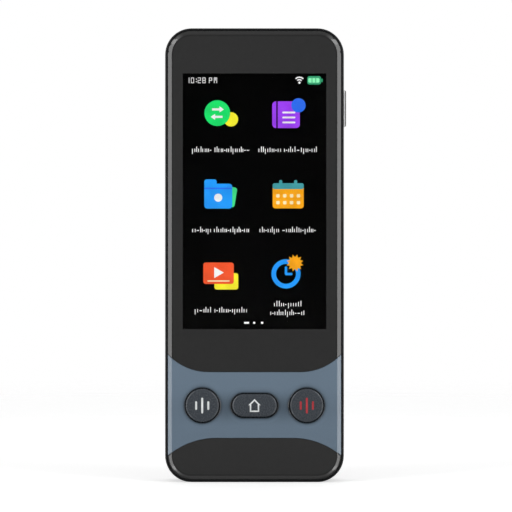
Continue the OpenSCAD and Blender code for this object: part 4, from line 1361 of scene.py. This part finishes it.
class TRANSLATOR_OT_camera(PieceOperator, bpy.types.Operator):
    """Camera ring, its window and the lens behind it"""

    bl_idname = "translator.camera"
    bl_label = "Camera"

    def execute(self, context):
        middle = centre("camera_ring")
        trim = metal("trim_metal", srgb("#8d9196"), roughness=0.28, turned_at=standing(middle))
        soft_copy("camera_ring", "lens_trim", trim, width=0.05)
        low, high = flat_box("camera_window")
        radius = (high.x - low.x) / 2
        thickness, behind = 0.45, 0.05
        pane = placed(disc(radius, low.z, low.z + thickness, segments=96), middle.x, middle.y)
        glass = clear("lens_clear_glass")
        window = keep(pane, "lens_window", [glass], nodes=("camera_window",))
        soften(window, width=0.06)
        self.rings(middle, radius, low.z + thickness + behind, high.z)
        self.dome(middle, high.z)
        return {"FINISHED"}

    def rings(self, middle, radius, face, back):
        """Printed mask and rings that step down to the front element, all looking to the back."""
        barrel = moulded("lens_barrel", srgb("#0c0d0f"), roughness=0.35, grain=4000, relief=0.004)
        outside = radius - 0.05
        mask, ledge, bore, wall = 2.9, 0.25, 1.75, 3.3
        profile = [(outside, face), (mask, face)]
        for ring, fall in ((2.6, 0.12), (2.1, 0.24)):
            profile += [(ring + ledge, face + fall), (ring, face + fall)]
        foot, floor = back - 0.05, back + 0.5
        profile += [(bore, face + 0.42), (bore, floor), (wall, floor), (wall, foot), (outside, foot)]
        rings = placed(turned(profile, segments=96), middle.x, middle.y)
        soften(keep(rings, "lens_rings", [barrel]), width=0.02)

    def dome(self, middle, back):
        """Domed front element, whose coating turns violet towards its edge."""
        radius, rise, steps = 1.72, 0.32, 10
        foot, brim = back + 0.45, back + 0.38
        curve = (radius**2 + rise**2) / (2 * rise)
        profile = [(0, foot), (radius, foot)]
        for i in range(steps + 1):
            out = radius * (1 - i / steps)
            profile.append((out, brim - sqrt(curve**2 - out**2) + curve - rise))
        element = placed(turned(profile), middle.x, middle.y)
        coated, tree, shader, place = new_material(
            "lens_coating", Roughness=0.03, Coat_Weight=1.0, Coat_Roughness=0.02
        )
        part = axes(tree, moved(tree, place, -standing(middle)))
        tone = stretch(tree, from_axis(tree, part["X"], part["Z"]), 0.3 * MM, 1.6 * MM)
        lead(tree, shader, Base_Color=blend(tree, tone, srgb("#05060c"), srgb("#1c1438")))
        keep(element, "lens_dome", [coated])


class TRANSLATOR_OT_flash(PieceOperator, bpy.types.Operator):
    """Flash lens with fine rings, and the lamp behind it"""

    bl_idname = "translator.flash"
    bl_label = "Flash"

    def execute(self, context):
        low, high = flat_box("flash_lens")
        middle = (low + high) / 2
        face, back = low.z, high.z
        radius, flange, root = 2.0, 2.8, 1.3
        flange_face, flange_back = face + 1.3, face + 1.7
        rim = 0.08
        grooves = 6
        profile = [(0, face + 0.1)]
        for i in range(grooves):
            inner = radius * (i + 0.3) / (grooves + 0.6)
            profile += [(inner, face + 0.16), (inner + 0.22, face + 0.04)]
        profile += [
            (radius - rim, face), (radius, face + rim), (radius, flange_face), (flange, flange_face),
            (flange, flange_back), (root, flange_back), (root, back), (0, back),
        ]
        lens = placed(turned(profile), middle.x, middle.y)
        frosted = clear("lens_frosted", srgb("#f4efd8"), roughness=0.18, through=0.55)
        keep(lens, "flash_cover", [frosted], nodes=("flash_lens",), smooth=False)
        dress("flash_led", moulded("lamp_yellow", srgb("#f2e7a0"), roughness=0.4, grain=6000))
        return {"FINISHED"}


class TRANSLATOR_OT_speaker(PieceOperator, bpy.types.Operator):
    """Cloth behind the speaker slots, and the speaker"""

    bl_idname = "translator.speaker"
    bl_label = "Speaker"

    def execute(self, context):
        dress("speaker_mesh", cloth("mesh_black", srgb("#1a1b1d"), pitch=0.32 * MM))
        dress("speaker_box", moulded("speaker_black", srgb("#26272a"), roughness=0.6))
        paper = moulded("speaker_paper", srgb("#1b1c1f"), roughness=0.7, grain=1200, relief=0.03)
        dress("speaker_cone", paper)
        return {"FINISHED"}


class TRANSLATOR_OT_inlet(PieceOperator, bpy.types.Operator):
    """Charging inlet: drawn shell, tongue and its contacts"""

    bl_idname = "translator.inlet"
    bl_label = "Inlet"

    def execute(self, context):
        steel = metal("inlet_steel", srgb("#b4b8bd"), roughness=0.25)
        soft_copy("usb_shell", "inlet_shell", steel, width=0.04)
        black = moulded("inlet_black", srgb("#191a1c"), roughness=0.45)
        soft_copy("usb_tongue", "inlet_tongue", black, width=0.05)
        low, high = flat_box("usb_tongue")
        middle = (low + high) / 2
        half_tongue, sunk, proud = 0.35, 0.05, 0.02
        pads, pitch, pad_width, from_foot = 12, 0.5, 0.25, 0.35
        strip = bmesh.new()
        for side in (-1, 1):
            levels = sorted((side * (half_tongue - sunk), side * (half_tongue + proud)))
            for i in range(pads):
                x = (i - (pads - 1) / 2) * pitch
                reach = 3.6 if i in (0, 3, 8, 11) else 3.2
                stamp(strip, plate(pad_width, reach, *levels), x, low.y + from_foot + reach / 2, middle.z)
        gold = metal("contact_gold", srgb("#d8b25a"), roughness=0.22)
        contacts = keep(strip, "inlet_contacts", [gold], smooth=False)
        soften(contacts, width=0.02, segments=1)
        return {"FINISHED"}


class TRANSLATOR_OT_inside(PieceOperator, bpy.types.Operator):
    """Finishes of everything inside the body"""

    bl_idname = "translator.inside"
    bl_label = "Inside"

    def execute(self, context):
        finishes = {
            soft_sheet("adhesive", srgb("#141414")): ("display_tape", "chin_tape"),
            soft_sheet("foam", srgb("#2a2a2a"), grain=2600.0, relief=0.05): ("display_foam",),
            soft_sheet("white_tape", srgb("#e6e3d8"), grain=3500.0): ("battery_tape",),
            soft_sheet("gasket", srgb("#1a1a1a"), grain=7000.0, relief=0.01): ("mic_gaskets",),
            traced("flex_amber", srgb("#b0762a"), srgb("#7a4a17"), pitch=0.5 * MM): (
                "display_flex", "key_flex", "side_flex", "link_flex", "antenna_flex",
            ),
            traced("board_green", srgb("#1f5a3a"), srgb("#3f8a5c"), pitch=0.9 * MM): (
                "key_board", "main_board", "charge_board",
            ),
            moulded("chip_black", srgb("#2c2e31"), roughness=0.65, grain=4200): (
                "processor", "memory_chip", "power_chip",
            ),
            moulded("light_guide", srgb("#d9dde0"), roughness=0.25, grain=1500): ("backlight",),
            moulded("connector_cream", srgb("#d8d2c2")): ("board_connectors",),
            moulded("lead_red", srgb("#8b2a2a")): ("battery_lead",),
            moulded("camera_black", srgb("#1b1c1f")): ("camera_module",),
            foil("cell_foil", srgb("#3f4247")): ("battery",),
            metal("shield_steel", srgb("#babcc0"), roughness=0.32): ("processor_shield", "radio_shield"),
            metal("screw_steel", srgb("#8f9296"), roughness=0.35): (
                "key_board_screws", "board_screws", "housing_screws",
            ),
            metal("dome_steel", srgb("#c9ccd0"), roughness=0.22): ("key_domes", "side_switch"),
            metal("mic_brass", srgb("#c8b070")): ("microphones",),
        }
        for material, nodes in finishes.items():
            for node in nodes:
                dress(node, material)
        return {"FINISHED"}


# ---------- stage ----------


def stage_world(stage):
    """Even light all round. The camera sees white, and gloss sees a sky that darkens in front of the face.

    The ranges are parts of the way that a ray goes, from -1 to 1: x to the right, y to the back, z up.
    Narrow panels in the dark part, four beside the corners and one below, light the front's bevels.
    """
    world = bpy.data.worlds.new("studio")
    bpy.context.scene.world = world
    world.use_nodes = True
    tree = world.node_tree
    tree.nodes.clear()
    paths = put(tree, "ShaderNodeLightPath").outputs
    way = axes(tree, put(tree, "ShaderNodeTexCoord").outputs["Generated"])
    dark, level_sky = 0.005, 0.3
    behind = stretch(tree, way["Y"], -0.85, 0.35)
    above = plus(tree, stretch(tree, way["Z"], -0.1, 0.9, 0.0, 0.5), level_sky)
    slanting = times(
        tree, stretch(tree, way["Y"], -0.68, -0.6), stretch(tree, way["Y"], -0.48, -0.4, 1.0, 0.0)
    )
    ends = times(
        tree, stretch(tree, unsigned(tree, way["X"]), 0.3, 0.62, 0.0, 2.2),
        stretch(tree, unsigned(tree, way["Z"]), 0.43, 0.5),
    )
    foot = stretch(tree, way["Z"], -0.85, -0.45, 0.4, 0.0)
    panels = times(tree, slanting, plus(tree, ends, foot))
    gloss = plus(tree, times(tree, behind, above), dark, panels)
    mirrored = calc(tree, "MAXIMUM", paths["Is Glossy Ray"], paths["Is Transmission Ray"])
    level = put(tree, "ShaderNodeMix", {0: mirrored, 2: stage.fill, 3: gloss}).outputs[0]
    level = put(tree, "ShaderNodeMix", {0: paths["Is Camera Ray"], 2: level, 3: 1.0}).outputs[0]
    sky = put(tree, "ShaderNodeBackground", {"Color": (1, 1, 1, 1), "Strength": level})
    put(tree, "ShaderNodeOutputWorld", {"Surface": sky.outputs[0]})


def add_lamp(name, place, target, size, radiance):
    """Soft rectangular lamp whose face has a given radiance, aimed at a point."""
    lamp = bpy.data.lights.new(name, "AREA")
    lamp.shape = "RECTANGLE"
    lamp.size, lamp.size_y = size
    lamp.energy = radiance * pi * size[0] * size[1]
    holder = bpy.data.objects.new(name, lamp)
    holder.location = place
    holder.rotation_euler = (Vector(target) - Vector(place)).to_track_quat("-Z", "Y").to_euler()
    bpy.context.scene.collection.objects.link(holder)


def add_floor(stage):
    """Pale floor that keeps the shadow and fades out all round."""
    below_body = Matrix.Translation((0, 0, -0.02 * MM))
    shape = bmesh.new()
    bmesh.ops.create_circle(shape, cap_ends=True, segments=96, radius=stage.floor, matrix=below_body)
    floor = bpy.data.objects.new("floor", as_mesh(shape, "floor"))
    bpy.context.scene.collection.objects.link(floor)
    material, tree, shader, place = new_material("floor_white", Roughness=0.9, Specular_IOR_Level=0.0)
    distance = put(tree, "ShaderNodeVectorMath", {0: place}, operation="LENGTH").outputs["Value"]
    tone = noise(tree, place, 30.0)
    pale = blend(tree, tone, (0.79, 0.79, 0.79), (0.81, 0.81, 0.81))
    seen = put(tree, "ShaderNodeLightPath").outputs["Is Camera Ray"]
    camera_glow, full_to, gone_at = 0.5, 0.25, 0.98
    glow = put(tree, "ShaderNodeEmission", {"Strength": times(tree, seen, camera_glow)})
    both = put(tree, "ShaderNodeAddShader", {0: shader.outputs[0], 1: glow.outputs[0]})
    fade = stretch(tree, distance, full_to * stage.floor, gone_at * stage.floor)
    gone = put(tree, "ShaderNodeBsdfTransparent")
    mixed = put(tree, "ShaderNodeMixShader", {0: fade, 1: both.outputs[0], 2: gone.outputs[0]})
    lead(tree, shader, Base_Color=pale)
    tree.links.new(mixed.outputs[0], tree.nodes["Material Output"].inputs["Surface"])
    floor.data.materials.append(material)
    floor.visible_glossy = False


class TRANSLATOR_OT_stage(PieceOperator, bpy.types.Operator):
    """Camera, lamps, sky and floor"""

    bl_idname = "translator.stage"
    bl_label = "Stage"

    def execute(self, context):
        stage = settings("stage")
        scene = context.scene
        scene.view_settings.view_transform = "Standard"
        stage_world(stage)
        add_floor(stage)
        face = -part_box("touch_glass")[0].y
        lens = bpy.data.cameras.new("camera")
        lens.lens = stage.lens
        lens.sensor_width = 36
        lens.clip_start = 0.01
        holder = bpy.data.objects.new("camera", lens)
        holder.location = (stage.aside, -(face + stage.distance), stage.rise)
        holder.rotation_euler = (pi / 2, 0, 0)
        scene.collection.objects.link(holder)
        scene.camera = holder
        away, level, strip_size = 0.6, 0.1, (0.22, 1.1)
        for side, name in ((-1, "strip_left"), (1, "strip_right")):
            turn = side * stage.strip_turn
            place = (away * sin(turn), -away * cos(turn), level)
            add_lamp(name, place, (0, 0, level), strip_size, stage.strip)
        overhead, body_middle, top_size = (0, 0.1, 0.8), (0, 0, 0.07), (0.5, 0.5)
        add_lamp("top_lamp", overhead, body_middle, top_size, stage.top)
        return {"FINISHED"}


class TRANSLATOR_PT_pieces(bpy.types.Panel):
    """Lists the pieces and their settings"""

    bl_label = "Handheld translator"
    bl_idname = "TRANSLATOR_PT_pieces"
    bl_space_type = "VIEW_3D"
    bl_region_type = "UI"
    bl_category = "Translator"

    def draw(self, context):
        for operator in OPERATORS:
            self.layout.operator(operator.bl_idname)
        for name in SETTINGS:
            group = getattr(context.scene, name)
            box = self.layout.box()
            for value in group.__annotations__:
                box.prop(group, value)


OPERATORS = [
    TRANSLATOR_OT_stage, TRANSLATOR_OT_mid_frame, TRANSLATOR_OT_front_band, TRANSLATOR_OT_cover_glass,
    TRANSLATOR_OT_chin, TRANSLATOR_OT_screen, TRANSLATOR_OT_screen_icons, TRANSLATOR_OT_captions,
    TRANSLATOR_OT_status_bar, TRANSLATOR_OT_front_keys, TRANSLATOR_OT_key_legends, TRANSLATOR_OT_side_key,
    TRANSLATOR_OT_rear_cover, TRANSLATOR_OT_camera, TRANSLATOR_OT_flash, TRANSLATOR_OT_speaker,
    TRANSLATOR_OT_inlet, TRANSLATOR_OT_inside,
]
SETTINGS = {
    "translator_finish": BodyFinish,
    "translator_screen": ScreenLayout,
    "translator_legends": LegendShape,
    "translator_stage": StageLight,
}
CLASSES = [*SETTINGS.values(), *OPERATORS, TRANSLATOR_PT_pieces]


def register():
    for item in CLASSES:
        bpy.utils.register_class(item)
    for name, group in SETTINGS.items():
        setattr(bpy.types.Scene, name, PointerProperty(type=group))


def unregister():
    for name in SETTINGS:
        delattr(bpy.types.Scene, name)
    for item in reversed(CLASSES):
        bpy.utils.unregister_class(item)


def main():
    register()
    for operator in OPERATORS:
        family, name = operator.bl_idname.split(".")
        getattr(getattr(bpy.ops, family), name)()


if __name__ == "__main__":
    main()
